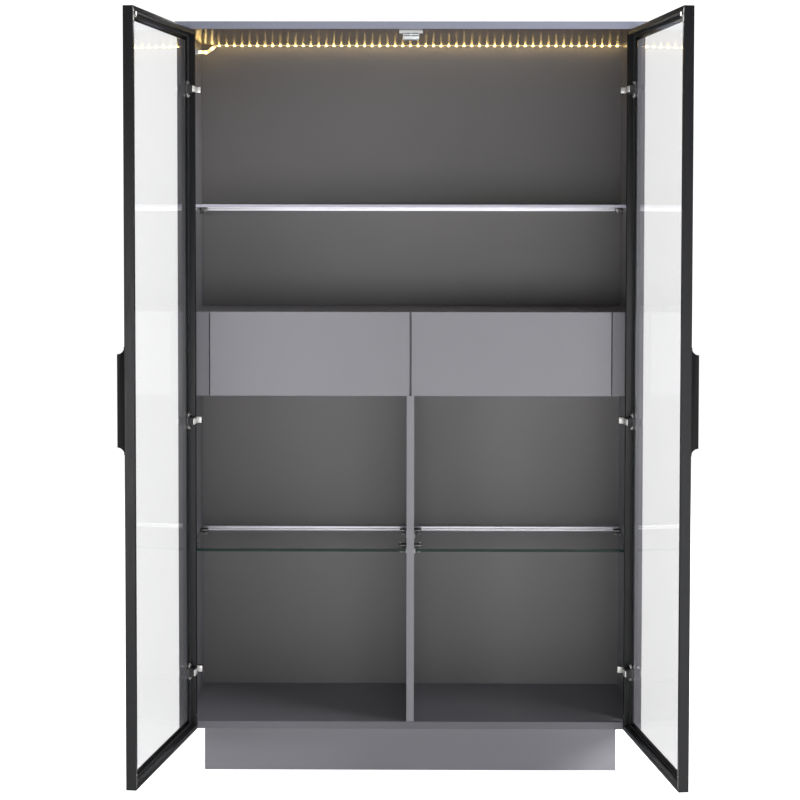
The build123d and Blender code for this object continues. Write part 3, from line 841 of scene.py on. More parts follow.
class Scatter:
    """A Geometry Nodes tree that sets one shape at many points, each aimed and spun."""

    INPUTS = (
        ("Points", "Geometry", None), ("Shape", "Object", None), ("Size", "Float", 1.0), ("Spin Swing", "Float", 0.0),
        ("Seed", "Int", 7), ("Finish", "Material", None), ("Accent Finish", "Material", None),
    )

    def __init__(self) -> None:
        """Build the tree with its named inputs."""
        tree = bpy.data.node_groups.new("set_at_points", "GeometryNodeTree")
        bench = NodeBench(tree)
        for label, kind, default in self.INPUTS:
            socket = tree.interface.new_socket(label, in_out="INPUT", socket_type=f"NodeSocket{kind}")
            if default is not None:
                socket.default_value = default
        tree.interface.new_socket("Geometry", in_out="OUTPUT", socket_type="NodeSocketGeometry")
        entry, leave = bench.node("NodeGroupInput"), bench.node("NodeGroupOutput")
        shape = bench.node("GeometryNodeObjectInfo")
        read = {}
        for label, kind in (("aim", "FLOAT_VECTOR"), ("side", "FLOAT_VECTOR"), ("accent", "BOOLEAN")):
            read[label] = bench.node("GeometryNodeInputNamedAttribute", data_type=kind)
            read[label].inputs["Name"].default_value = label
        axes = bench.node("FunctionNodeAxesToRotation", primary_axis="Z", secondary_axis="X")
        chance = bench.node("FunctionNodeRandomValue", data_type="FLOAT")
        lowest, highest = [s for s in chance.inputs if s.type == "VALUE"][:2]
        angle = [s for s in chance.outputs if s.type == "VALUE"][0]
        spin = bench.node("FunctionNodeAxisAngleToRotation")
        spin.inputs["Axis"].default_value = (0, 0, 1)
        turn = bench.node("FunctionNodeRotateRotation", rotation_space="LOCAL")
        setter = bench.node("GeometryNodeInstanceOnPoints")
        real = bench.node("GeometryNodeRealizeInstances")
        coat, accent_coat = bench.node("GeometryNodeSetMaterial"), bench.node("GeometryNodeSetMaterial")
        given = entry.outputs
        for start, end in (
            (given["Shape"], shape.inputs["Object"]),
            (read["aim"].outputs["Attribute"], axes.inputs["Primary Axis"]),
            (read["side"].outputs["Attribute"], axes.inputs["Secondary Axis"]),
            (bench.sums("MULTIPLY", given["Spin Swing"], -1.0), lowest),
            (given["Spin Swing"], highest),
            (given["Seed"], chance.inputs["Seed"]),
            (angle, spin.inputs["Angle"]),
            (axes.outputs["Rotation"], turn.inputs["Rotation"]),
            (spin.outputs["Rotation"], turn.inputs["Rotate By"]),
            (given["Points"], setter.inputs["Points"]),
            (shape.outputs["Geometry"], setter.inputs["Instance"]),
            (turn.outputs["Rotation"], setter.inputs["Rotation"]),
            (given["Size"], setter.inputs["Scale"]),
            (setter.outputs["Instances"], real.inputs["Geometry"]),
            (real.outputs["Geometry"], coat.inputs["Geometry"]),
            (given["Finish"], coat.inputs["Material"]),
            (coat.outputs["Geometry"], accent_coat.inputs["Geometry"]),
            (read["accent"].outputs["Attribute"], accent_coat.inputs["Selection"]),
            (given["Accent Finish"], accent_coat.inputs["Material"]),
            (accent_coat.outputs["Geometry"], leave.inputs["Geometry"]),
        ):
            bench.link(start, end)
        self.tree = tree

    def bake(
        self, name: str, points: Sequence[tuple], shape: bpy.types.Object, finish: bpy.types.Material,
        accent: Optional[bpy.types.Material] = None, spin: float = 0.0, seed: int = 7, size: float = 1.0,
    ) -> bpy.types.Mesh:
        """Set the shape at the points and return the result as a plain mesh.

        Args:
            name: the mesh's name.
            points: (place, aim, side) of each.
            shape: the object to repeat, which points along its own Z.
            finish: the main material.
            accent: the material of its marked faces.
            spin: how far each may turn about its aim, in radians.
            seed: which turns they get.
            size: a scale on all of them.

        Returns:
            The mesh.
        """
        host_mesh = bpy.data.meshes.new(f"{name}_points")
        host_mesh.from_pydata([tuple(p[0]) for p in points], [], [])
        for index, key in ((1, "aim"), (2, "side")):
            values = [v for p in points for v in p[index]]
            host_mesh.attributes.new(key, "FLOAT_VECTOR", "POINT").data.foreach_set("vector", values)
        host = bpy.data.objects.new(f"{name}_host", host_mesh)
        bpy.context.scene.collection.objects.link(host)
        modifier = host.modifiers.new("set_at_points", "NODES")
        modifier.node_group = self.tree
        ids = {s.name: s.identifier for s in self.tree.interface.items_tree if s.in_out == "INPUT"}
        values = {"Shape": shape, "Size": size, "Spin Swing": spin, "Seed": seed, "Finish": finish}
        values["Accent Finish"] = accent or finish
        for key, value in values.items():
            modifier[ids[key]] = value
        bpy.context.view_layer.update()
        depsgraph = bpy.context.evaluated_depsgraph_get()
        made = bpy.data.meshes.new_from_object(host.evaluated_get(depsgraph))
        made.name = name
        host.modifiers.remove(modifier)
        bpy.data.objects.remove(host)
        bpy.data.meshes.remove(host_mesh)
        soften(made)
        return made


class Patterns:
    """The small shapes that are set many times: screw heads and light chips."""

    def __init__(self) -> None:
        """Build them all."""
        self.pan_screw = self._screw("pan_screw", 4.0 * MM, 2.0 * MM, 2.2 * MM, 0.55 * MM)
        self.flat_screw = self._screw("flat_screw", 2.4 * MM, 0.45 * MM, 1.5 * MM, 0.32 * MM)
        self.chip = self._chip()

    @staticmethod
    def _hidden(name: str, shape: bmesh.types.BMesh) -> bpy.types.Object:
        """Keep a shape as an object outside the scene."""
        mesh = bpy.data.meshes.new(name)
        shape.to_mesh(mesh)
        shape.free()
        return bpy.data.objects.new(name, mesh)

    def _screw(self, name: str, radius: float, height: float, arm: float, half_slot: float) -> bpy.types.Object:
        """A domed head with a cross recess, its seat at zero.

        Args:
            name: the shape's name.
            radius: the head's radius.
            height: how far it stands up.
            arm: the recess's reach.
            half_slot: half the recess's width.

        Returns:
            The hidden object.
        """
        sides, shape = 16, bmesh.new()
        profile = [
            (0.0, radius * 0.97), (height * 0.35, radius), (height * 0.75, radius * 0.88), (height, radius * 0.66),
        ]
        rings = loft(shape, profile, sides)
        shape.faces.new(rings[0][::-1])
        a, s = min(arm, radius * 0.56), half_slot
        corners = [
            (a, -s), (a, s), (s, s), (s, a), (-s, a), (-s, s), (-a, s), (-a, -s), (-s, -s), (-s, -a), (s, -a), (s, -s),
        ]
        count = len(corners)
        lip = [shape.verts.new((x, y, height)) for x, y in corners]
        pit = [shape.verts.new((x * 0.8, y * 0.8, height * 0.45)) for x, y in corners]
        loop = [shape.edges.new((lip[k], lip[(k + 1) % count])) for k in range(count)]
        outer = [shape.edges.get((rings[-1][k], rings[-1][(k + 1) % sides])) for k in range(sides)]
        bmesh.ops.triangle_fill(shape, use_beauty=True, use_dissolve=False, edges=loop + outer)
        for k in range(count):
            n = (k + 1) % count
            shape.faces.new((lip[k], lip[n], pit[n], pit[k]))
        shape.faces.new(pit)
        bmesh.ops.recalc_face_normals(shape, faces=shape.faces)
        return self._hidden(name, shape)

    def _chip(self) -> bpy.types.Object:
        """A light chip: a square package with a round lens let into it; the lens faces are marked."""
        half, tall, lens, sides = 2.5 * MM, 1.6 * MM, 1.9 * MM, 12
        shape = bmesh.new()
        mark = shape.faces.layers.bool.new("accent")
        base = [shape.verts.new((x, y, 0)) for x, y in ((-half, -half), (half, -half), (half, half), (-half, half))]
        top = [shape.verts.new((v.co.x * 0.94, v.co.y * 0.94, tall)) for v in base]
        shape.faces.new(base[::-1])
        for k in range(4):
            n = (k + 1) % 4
            shape.faces.new((base[k], base[n], top[n], top[k]))
        rim = [shape.verts.new(corner) for corner in circle(lens, tall, sides)]
        loop = [shape.edges.new((rim[k], rim[(k + 1) % sides])) for k in range(sides)]
        outer = [shape.edges.get((top[k], top[(k + 1) % 4])) for k in range(4)]
        bmesh.ops.triangle_fill(shape, use_beauty=True, use_dissolve=False, edges=loop + outer)
        dome = [shape.verts.new((v.co.x * 0.7, v.co.y * 0.7, tall + 0.25 * MM)) for v in rim]
        lens_faces = [
            shape.faces.new((rim[k], rim[(k + 1) % sides], dome[(k + 1) % sides], dome[k])) for k in range(sides)
        ]
        lens_faces.append(shape.faces.new(dome))
        bmesh.ops.recalc_face_normals(shape, faces=shape.faces)
        for face in lens_faces:
            face[mark] = True
        return self._hidden("light_chip", shape)


# --------------------------------------------------------------------------------------
# sub-assemblies
# --------------------------------------------------------------------------------------
@dataclass
class Workshop:
    """What every sub-assembly needs: finishes, the edge dresser, the scatter tree and its shapes."""

    palette: Palette
    boards: BoardDresser = field(default_factory=BoardDresser)
    scatter: Scatter = field(default_factory=Scatter)
    patterns: Patterns = field(default_factory=Patterns)


@dataclass
class Carcass:
    """The case: boards, back and plinth."""

    shop: Workshop

    LAMINATED = (
        "top_panel", "bottom_panel", "side_panel_left", "side_panel_right", "upper_deck", "lower_deck",
        "bay_divider", "drawer_divider", "filler_strips", "runner_boards",
        "plinth_front", "plinth_rear", "plinth_sides", "plinth_brace",
    )
    # Boards whose front faces get painted shade.
    BANDED = ("bottom_panel", "side_panel_left", "side_panel_right", "filler_strips")

    def build(self) -> None:
        """Ease every board and dress the back."""
        for node in self.LAMINATED:
            self.shop.boards.dress(node, "carcass", "laminate", self.shop.palette.laminate)
        self.shop.boards.dress("back_panel", "carcass", "back_board", self.shop.palette.back, 0.15 * MM)
        # Front faces of these boards, and of the top, get a darker tone: painted shade.
        for node in self.BANDED:
            self._band(node, self.shop.palette.band)
        # The top's front face: bluish painted shade.
        self._band("top_panel", self.shop.palette.top_band)
        self._pull_ceiling()

    @staticmethod
    def _band(node: str, finish: bpy.types.Material) -> None:
        """Give a board's front face a darker copy of its laminate: painted shade.

        Args:
            node: the CAD node that the board stands for.
            finish: the darker material, painted shade.
        """
        mesh = bpy.data.objects[f"{node}.finished"].data
        mesh.materials.append(finish)
        for face in mesh.polygons:
            if face.normal.y < -FACING:
                face.material_index = len(mesh.materials) - 1

    def _pull_ceiling(self) -> None:
        """Give the top board's underside, inside the case, a darker warm brown tone (painted shade and painted warm
        light from the strip) and the sheen of a foil pulled front to back.
        """
        mesh = bpy.data.objects["top_panel.finished"].data
        mesh.materials.append(self.shop.palette.ceiling)
        layer = mesh.uv_layers.new(name="pull")
        for face in mesh.polygons:
            if face.normal.z < -FACING:
                face.material_index = len(mesh.materials) - 1
            for loop in face.loop_indices:
                x, y, _ = mesh.vertices[mesh.loops[loop].vertex_index].co
                layer.data[loop].uv = (y, x)


@dataclass
class Shelves:
    """Glass shelves, the channels behind them and the supports under them."""

    shop: Workshop
    arris: float = 0.5 * MM
    glass_thick: float = 6.0 * MM
    pin_depth: float = 7.5 * MM
    bay_middle: float = 0.25
    gap: float = 1.5 * MM

    GLASS = ("shelf_glass_upper", "shelf_glass_lower_left", "shelf_glass_lower_right")

    def build(self) -> None:
        """Build every shelf's parts."""
        for node in self.GLASS:
            self._glass(node)
        for node in ("shelf_rail_upper", "shelf_rails_lower"):
            self.shop.boards.dress(node, "carcass", "satin_aluminium", self.shop.palette.rail, 0.3 * MM)
        glass_top = {
            "shelf_supports_upper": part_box("shelf_glass_upper")[1].z,
            "shelf_supports_lower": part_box("shelf_glass_lower_left")[1].z,
        }
        for node, top in glass_top.items():
            self._supports(node, top)

    def _glass(self, node: str) -> None:
        """A pane with ground, green edges; the upper pane's edges get a pale tone, which is painted light.

        Args:
            node: the pane's CAD node.
        """
        low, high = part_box(node)
        former = Former()
        former.block(low, high, self.shop.palette.shelf_glass, self.arris, 1)
        # The upper pane's edges take the pale tone, which is painted light; the lower ones stay dark green.
        former.finishes.append(self.shop.palette.bright_edge if node.endswith("upper") else self.shop.palette.edge)
        for face in former.shape.faces:
            if abs(face.normal.z) < FACING:
                face.material_index = 1
        stand(f"{node}.finished", former.mesh(node), "carcass", [node])

    def _supports(self, node: str, top: float) -> None:
        """A collared cradle under the glass at each place, the front ones with a clamping jaw over it.

        Args:
            node: the CAD node with the supports.
            top: the height of the glass's upper face.
        """
        former, palette = Former(), self.shop.palette
        # The lower supports' bright parts carry a painted highlight.
        shine, dark = (palette.pewter, palette.pewter) if node.endswith("upper") else (palette.bright, palette.rubber)
        seat = top - self.glass_thick
        for low, high in solids_of(node):
            middle_x = (low.x + high.x) / 2
            inward = 1 if middle_x < -self.bay_middle or 0 < middle_x < self.bay_middle else -1
            wall = (low.x if inward > 0 else high.x) + inward * self.pin_depth
            y = (low.y + high.y) / 2

            def slab(
                x0: float, x1: float, half: float, z0: float, z1: float, finish: bpy.types.Material, r: float
            ) -> None:
                """A block between two distances from the board and two heights."""
                ends = sorted((wall + inward * x0, wall + inward * x1))
                former.block((ends[0], y - half, z0), (ends[1], y + half, z1), finish, r)

            former.turned(
                [(0.0, 6.0 * MM), (2.2 * MM, 6.0 * MM), (3.0 * MM, 5.2 * MM)],
                (wall, y, seat - 6.2 * MM), (inward, 0, 0), shine,
            )
            slab(2.4 * MM, 17.0 * MM, 4.6 * MM, seat - 6.4 * MM, seat - 1.0 * MM, dark, 1.3 * MM)
            slab(2.4 * MM, 16.4 * MM, 4.9 * MM, seat - 1.3 * MM, seat - 0.1 * MM, shine, 0.4 * MM)
            former.turned(
                [(0.0, 3.8 * MM), (0.8 * MM, 5.0 * MM), (2.6 * MM, 5.0 * MM), (3.4 * MM, 4.0 * MM)],
                (wall + inward * 10.5 * MM, y, seat - 9.2 * MM), (0, 0, 1), shine, 20,
            )
            if node.endswith("upper"):
                continue
            slab(0.05 * MM, self.gap - 0.3 * MM, 4.2 * MM, seat - 3.0 * MM, top + 5.0 * MM, dark, 0.3 * MM)
            slab(0.05 * MM, 17.0 * MM, 4.6 * MM, top + 0.3 * MM, top + 4.6 * MM, dark, 1.2 * MM)
            former.turned(
                [(0.0, 2.4 * MM), (1.4 * MM, 2.4 * MM), (2.0 * MM, 1.7 * MM)],
                (wall + inward * 13.5 * MM, y, top + 4.3 * MM), (0, 0, 1), shine, 18,
            )
            slab(1.0 * MM, 16.0 * MM, 4.75 * MM, top + 0.1 * MM, top + 0.9 * MM, shine, 0.25 * MM)
        stand(f"{node}.finished", former.mesh(node), "carcass", [node])


@dataclass
class StripLight:
    """The lit tape, its chips, and the small connector at its end."""

    shop: Workshop

    def build(self) -> None:
        """Build the tape, chips and connector."""
        self._tape()
        self._chips()
        low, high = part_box("led_connector")
        former = Former()
        former.block(low, high, self.shop.palette.white_plastic, 1.2 * MM, 3)
        middle = (low + high) / 2
        former.block(
            (high.x - 0.1 * MM, middle.y - 4 * MM, middle.z - 1.5 * MM),
            (high.x + 0.5 * MM, middle.y + 4 * MM, middle.z + 1.5 * MM),
            self.shop.palette.pad, 0.4 * MM,
        )
        stand("led_connector.finished", former.mesh("led_connector"), "carcass", ["led_connector"])

    def _tape(self) -> None:
        """The tape's own CAD shape with a length map for its marks."""
        shape = merged_copy("led_tape")
        layer = shape.loops.layers.uv.new("run")
        for face in shape.faces:
            for loop in face.loops:
                x, y, z = loop.vert.co
                loop[layer].uv = (0.5 - x + (0.1635 - y) + (1.602 - z) * 0.3, y)
        mesh = bpy.data.meshes.new("led_tape")
        shape.to_mesh(mesh)
        shape.free()
        mesh.materials.append(self.shop.palette.tape)
        soften(mesh)
        stand("led_tape.finished", mesh, "carcass", ["led_tape"])

    def _chips(self) -> None:
        """A chip at each place that the frame gives."""
        shape = merged_copy("led_chips")
        places = [self._frame_of(island) for island in islands(shape)]
        shape.free()
        places.sort(key=lambda p: (round(-p[0].x, 4), round(-p[0].y, 4)))
        mesh = self.shop.scatter.bake(
            "light_chips", places, self.shop.patterns.chip, self.shop.palette.package, self.shop.palette.lens
        )
        stand("led_chips.finished", mesh, "carcass", ["led_chips"])

    def _frame_of(self, island: list) -> tuple:
        """Where one chip sits and how it is turned.

        Args:
            island: the corners of its CAD block.

        Returns:
            (seat, outward direction, direction along the tape).
        """
        middle = sum((v.co for v in island), Vector()) / len(island)
        faces = list(dict.fromkeys(f for v in island for f in v.link_faces))
        large = sorted(faces, key=lambda f: -f.calc_area())[:2]
        normal = large[0].normal.copy()
        toward = Vector((0, 0, -1)) if middle.z > 1.598 else Vector((1, -1, 0)).normalized()
        if normal.dot(toward) < 0:
            normal.negate()
        small = min((f.normal for f in faces), key=lambda n: abs(n.dot(normal)) + abs(n.z) * 0.5)
        along = (small - normal * small.dot(normal)).normalized()
        return middle - normal * 0.8 * MM, normal, along


@dataclass
class Catch:
    """The double magnetic catch under the front of the top."""

    shop: Workshop

    def build(self) -> None:
        """A plastic housing with a pair of steel plates in each half."""
        low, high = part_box("catch_housing")
        palette, former = self.shop.palette, Former()
        body_half = 17.0 * MM
        former.block((low.x, low.y, high.z - 6 * MM), (high.x, high.y, high.z), palette.white_plastic, 0.8 * MM)
        former.block(
            (-body_half, low.y, low.z), (body_half, high.y, high.z - 5.5 * MM), palette.white_plastic, 1.0 * MM
        )
        for side in (-1, 1):
            former.turned(
                [(0, 3.2 * MM), (0.9 * MM, 3.2 * MM), (1.3 * MM, 2.4 * MM)],
                (side * 21 * MM, low.y + 12 * MM, high.z - 6 * MM), (0, 0, -1), palette.nickel, 20,
            )
        stand("catch_housing.finished", former.mesh("catch_housing"), "carcass", ["catch_housing"])
        former = Former()
        for box_low, box_high in solids_of("catch_magnets"):
            for level in (box_low.z + 5.0 * MM, box_high.z + 0.2 * MM):
                former.block(
                    (box_low.x - 0.8 * MM, low.y - 0.35 * MM, level - 0.9 * MM),
                    (box_high.x + 0.8 * MM, low.y + 3 * MM, level + 0.9 * MM), palette.rubber, 0.2 * MM,
                )
                former.block(
                    (box_low.x, low.y - 0.6 * MM, level - 0.35 * MM),
                    (box_high.x, low.y + 3 * MM, level + 0.35 * MM), palette.dark_nickel, 0.15 * MM,
                )
        stand("catch_magnets.finished", former.mesh("catch_magnets"), "carcass", ["catch_magnets"])


@dataclass
class CarcassHinges:
    """Mounting plates, arms and their screws on the side boards, and the links in front of them."""

    shop: Workshop
    side: Side

    def build(self) -> None:
        """Build this side's plates, arms, screws and links."""
        word, palette = self.side.word, self.shop.palette
        former = Former()
        for low, high in solids_of(f"hinge_arms_{word}"):
            self._arm(former, low, high)
        stand(f"hinge_arms_{word}.finished", former.mesh("arms"), "carcass", [f"hinge_arms_{word}"])
        former = Former()
        for low, high in solids_of(f"hinge_links_{word}"):
            self._link(former, low, high)
        links = f"hinge_links_{word}"
        stand(f"{links}.finished", former.mesh("links"), links, [links])
        inward = -self.side.value
        seats = [
            (Vector((low.x if inward > 0 else high.x, (low.y + high.y) / 2, (low.z + high.z) / 2)))
            for low, high in solids_of("hinge_plate_screws")
            if (low.x < 0) == (self.side is Side.LEFT)
        ]
        points = [(seat, (inward, 0, 0), (0, 0, 1)) for seat in seats]
        mesh = self.shop.scatter.bake(
            f"plate_screws_{word}", points, self.shop.patterns.pan_screw, palette.nickel,
            spin=1.2, seed=11 + self.side.value,
        )
        stand(f"plate_screws_{word}", mesh, "carcass", ["hinge_plate_screws"])

    def _arm(self, former: Former, low: Vector, high: Vector) -> None:
        """One winged plate with a folded steel arm clipped over it.

        Args:
            former: what it is added to.
            low: the CAD arm's lowest corner.
            high: the CAD arm's highest corner.
        """
        palette = self.shop.palette
        inward = -self.side.value
        wall = low.x if inward > 0 else high.x
        tip = high.x if inward > 0 else low.x
        mid = (low.z + high.z) / 2
        front, rear = low.y, high.y

        def x(depth: float) -> float:
            """A depth from the board as a place along X."""
            return wall + inward * depth

        def slab(d0: float, d1: float, y0: float, y1: float, h: float, finish: bpy.types.Material, r: float) -> None:
            """A block between two depths, two places and a half height."""
            ends = sorted((x(d0), x(d1)))
            former.block((ends[0], y0, mid - h), (ends[1], y1, mid + h), finish, r)

        depth = abs(tip - wall)
        slab(0, 3 * MM, front + 18 * MM, front + 36 * MM, (high.z - low.z) / 2, palette.nickel, 0.8 * MM)
        slab(0, 6 * MM, front + 12 * MM, rear - 4 * MM, 5.2 * MM, palette.nickel, 0.8 * MM)
        for cheek in (-1, 1):
            ends = sorted((x(2 * MM), x(depth - 1 * MM)))
            z = sorted((mid + cheek * 6.0 * MM, mid + cheek * 7.4 * MM))
            former.block((ends[0], front + 1 * MM, z[0]), (ends[1], rear - 1 * MM, z[1]), palette.nickel, 0.4 * MM)
        slab(depth - 1.6 * MM, depth - 0.2 * MM, front, rear - 6 * MM, 7.4 * MM, palette.nickel, 0.6 * MM)
        for along, radius in ((14 * MM, 2.6 * MM), (31 * MM, 3.1 * MM)):
            former.turned(
                [
                    (0, radius), (0.9 * MM, radius), (1.1 * MM, radius * 0.8), (0.5 * MM, radius * 0.5),
                    (0.4 * MM, 0.2 * MM),
                ],
                (x(depth - 0.8 * MM), front + along, mid), (inward, 0, 0), palette.dark_nickel, 18,
            )
        former.block(
            (min(x(depth - 4 * MM), x(depth - 0.4 * MM)), rear - 6.5 * MM, mid - 5 * MM),
            (max(x(depth - 4 * MM), x(depth - 0.4 * MM)), rear - 0.6 * MM, mid + 5 * MM), palette.nickel, 1.2 * MM,
        )

    def _link(self, former: Former, low: Vector, high: Vector) -> None:
        """Two plates and a barrel that join an arm to the door's hinge body: the larger dark plate is painted shade
        round the link, and the bright one in front is a painted highlight.

        Args:
            former: what it is added to.
            low: the CAD link's lowest corner.
            high: the CAD link's highest corner.
        """
        palette = self.shop.palette
        # A dark block a little larger than the link: painted shade, the dark outline round it.
        former.block(
            (low.x, low.y + 3.7 * MM, low.z - 1.6 * MM), (high.x, high.y, high.z + 1.6 * MM), palette.rubber, 1.0 * MM
        )
        former.block(
            (low.x - 0.6 * MM, low.y + 2.5 * MM, low.z - 0.5 * MM),
            (high.x - 1.0 * MM, low.y + 6 * MM, high.z + 0.5 * MM), palette.bright, 0.35 * MM,
        )
        for along in (8.0 * MM, 12.0 * MM):
            former.turned(
                [(0, 1.6 * MM), (15.6 * MM, 1.6 * MM)],
                ((low.x + high.x) / 2, low.y + along, low.z - 1.8 * MM), (0, 0, 1), palette.nickel, 16,
            )


@dataclass
class Door:
    """One glazed door: mitred frame, pane, bead, pull, hinge bodies and fixings."""

    shop: Workshop
    side: Side
    open_degrees: float
    pivot_shut: tuple = (-492.0 * MM, -210.5 * MM)
    pivot_open: tuple = (-468.2 * MM, -208.15 * MM)
    hinge_edge: float = -498.0 * MM
    meeting_edge: float = -1.5 * MM
    inner_face: float = -200.5 * MM
    hinge_levels: tuple = (233.0 * MM, 771.0 * MM, 1475.0 * MM)
    bottom: float = 105.0 * MM
    top: float = 1600.0 * MM
    corner_inset: float = 30.0 * MM
    web: float = 10.0 * MM
    pane_inner: float = -214.5 * MM

    @property
    def word(self) -> str:
        """The side's name as the frame spells it."""
        return self.side.word

    @property
    def body(self) -> str:
        """The CAD body that this door is."""
        return f"door_{self.word}"

    def opened(self) -> Matrix:
        """The move that carries the left door's shut shape to this door's open place."""
        turn = Matrix.Rotation(math.radians(self.open_degrees * self.side.value), 4, "Z")
        flip = Matrix.Identity(4) if self.side is Side.LEFT else Matrix.Diagonal((-1, 1, 1, 1))
        sign = 1 if self.side is Side.LEFT else -1
        shut = Matrix.Translation((-sign * self.pivot_shut[0], -self.pivot_shut[1], 0))
        place = Matrix.Translation((sign * self.pivot_open[0], self.pivot_open[1], 0))
        return place @ turn @ shut @ flip

    def build(self) -> None:
        """Build the door's pieces."""
        palette, boards = self.shop.palette, self.shop.boards
        boards.dress(f"{self.body}_stiles", self.body, "black_aluminium", palette.frame_upright, 0.5 * MM)
        boards.dress(f"{self.body}_rails", self.body, "black_aluminium", palette.frame_cross, 0.5 * MM)
        boards.dress(f"{self.body}_handle", self.body, "black_handle", palette.handle, 0.5 * MM)
        boards.dress(f"{self.body}_gasket", self.body, "rubber", palette.rubber, 0.6 * MM)
        self._pane()
        self._cups()
        self._fixings()

    def _pane(self) -> None:
        """The pane, clear on its faces and dark where its edges are ground."""
        node = f"{self.body}_glass"
        shape = merged_copy(node)
        bmesh.ops.bevel(shape, geom=shape.edges[:], offset=0.4 * MM, segments=1, profile=0.5, affect="EDGES")
        widest = max(shape.faces, key=lambda f: f.calc_area()).normal.copy()
        for face in shape.faces:
            face.material_index = 0 if abs(face.normal.dot(widest)) > FACING else 1
        mesh = bpy.data.meshes.new(node)
        shape.to_mesh(mesh)
        shape.free()
        mesh.materials.append(self.shop.palette.door_glass)
        mesh.materials.append(self.shop.palette.pane_edge)
        soften(mesh)
        stand(f"{node}.finished", mesh, self.body, [node])

    def _cups(self) -> None:
        """Hinge bodies in the frame's hollow, each with two winged screw seats."""
        palette, former = self.shop.palette, Former()
        x0 = self.hinge_edge + self.web + 5.5 * MM
        y0 = self.pane_inner + 0.4 * MM
        for level in self.hinge_levels:
            former.block(
                (x0, y0, level - 9.5 * MM), (x0 + 19 * MM, self.inner_face - 1.5 * MM, level + 9.5 * MM),
                palette.dark_nickel, 2.2 * MM, 3,
            )
            # A dark block round the bright front: painted shade, the dark outline round the hinge body; the bright
            # front is a painted highlight.
            former.block(
                (x0 + 0.5 * MM, y0 + 3 * MM, level - 8.2 * MM),
                (x0 + 21 * MM, self.inner_face + 1.6 * MM, level + 8.2 * MM), palette.rubber, 0.8 * MM,
            )
            former.block(
                (x0 - 0.8 * MM, self.inner_face - 2.0 * MM, level - 6.4 * MM),
                (x0 + 20.4 * MM, self.inner_face + 3.5 * MM, level + 6.4 * MM), palette.bright, 0.4 * MM,
            )
            outline = [
                (0.3 * MM, -18 * MM), (7 * MM, -18 * MM), (9.8 * MM, -15 * MM), (9.8 * MM, 15 * MM),
                (7 * MM, 18 * MM), (0.3 * MM, 18 * MM),
            ]
            former.extruded(
                outline, (x0, y0 + 3.9 * MM, level), (1, 0, 0), (0, 0, 1), 3.4 * MM, palette.pewter, 0.4 * MM
            )
        carry = self.opened()
        turn = carry.to_3x3()
        former.move(carry)
        cups = f"{self.body}_hinge_cups"
        stand(f"{cups}.finished", former.mesh("cups"), self.body, [cups])
        seats = [
            (carry @ Vector((x0 + 5 * MM, y0 + 3.8 * MM, level + end * 14 * MM)), turn @ Vector((0, 1, 0)), (0, 0, 1))
            for level in self.hinge_levels
            for end in (-1, 1)
        ]
        mesh = self.shop.scatter.bake(
            f"{self.body}_cup_screws", seats, self.shop.patterns.pan_screw, palette.nickel, spin=1.5, seed=23, size=0.92
        )
        stand(f"{self.body}_cup_screws", mesh, self.body)

    def _fixings(self) -> None:
        """The strike plate for the catch and the screws at the frame's corners."""
        palette, former = self.shop.palette, Former()
        x1 = self.meeting_edge - self.web
        former.block(
            (x1 - 16 * MM, self.inner_face - 1.2 * MM, self.top - self.web - 10 * MM),
            (x1 - 1 * MM, self.inner_face + 0.6 * MM, self.top - self.web), palette.nickel, 0.5 * MM,
        )
        carry = self.opened()
        turn = carry.to_3x3()
        former.move(carry)
        stand(f"{self.body}_strike", former.mesh("strike"), self.body, [f"{self.body}_fixings"])
        seats = [
            (carry @ Vector((x, self.inner_face, z)), turn @ Vector((0, 1, 0)), (0, 0, 1))
            for x in (self.hinge_edge + self.web / 2, self.meeting_edge - self.web / 2)
            for z in (self.bottom + self.corner_inset, self.top - self.corner_inset)
        ]
        mesh = self.shop.scatter.bake(
            f"{self.body}_corner_screws", seats, self.shop.patterns.flat_screw, palette.nickel, spin=1.5, seed=31
        )
        stand(f"{self.body}_corner_screws", mesh, self.body)


@dataclass
class Drawer:
    """One drawer: laminate front, board box and the runner members that move with it."""

    shop: Workshop
    side: Side

    def build(self) -> None:
        """Build the drawer's pieces."""
        palette, boards, word = self.shop.palette, self.shop.boards, self.side.word
        body = f"drawer_{word}"
        boards.dress(f"{body}_front", body, "laminate", palette.laminate)
        boards.dress(f"{body}_walls", body, "drawer_board", palette.drawer_board)
        boards.dress(f"{body}_bottom", body, "drawer_board", palette.drawer_board, 0.2 * MM)
        boards.dress(f"{body}_runner_inners", body, "zinc_steel", palette.zinc, 0.25 * MM)
        boards.dress(f"{body}_runner_middles", f"runner_middles_{word}", "zinc_steel", palette.zinc, 0.25 * MM)


@dataclass
class RunnerOuters:
    """The runner members fixed to the carcass."""

    shop: Workshop

    def build(self) -> None:
        """Dress the four fixed members."""
        self.shop.boards.dress("runner_outers", "carcass", "zinc_steel", self.shop.palette.zinc, 0.25 * MM)


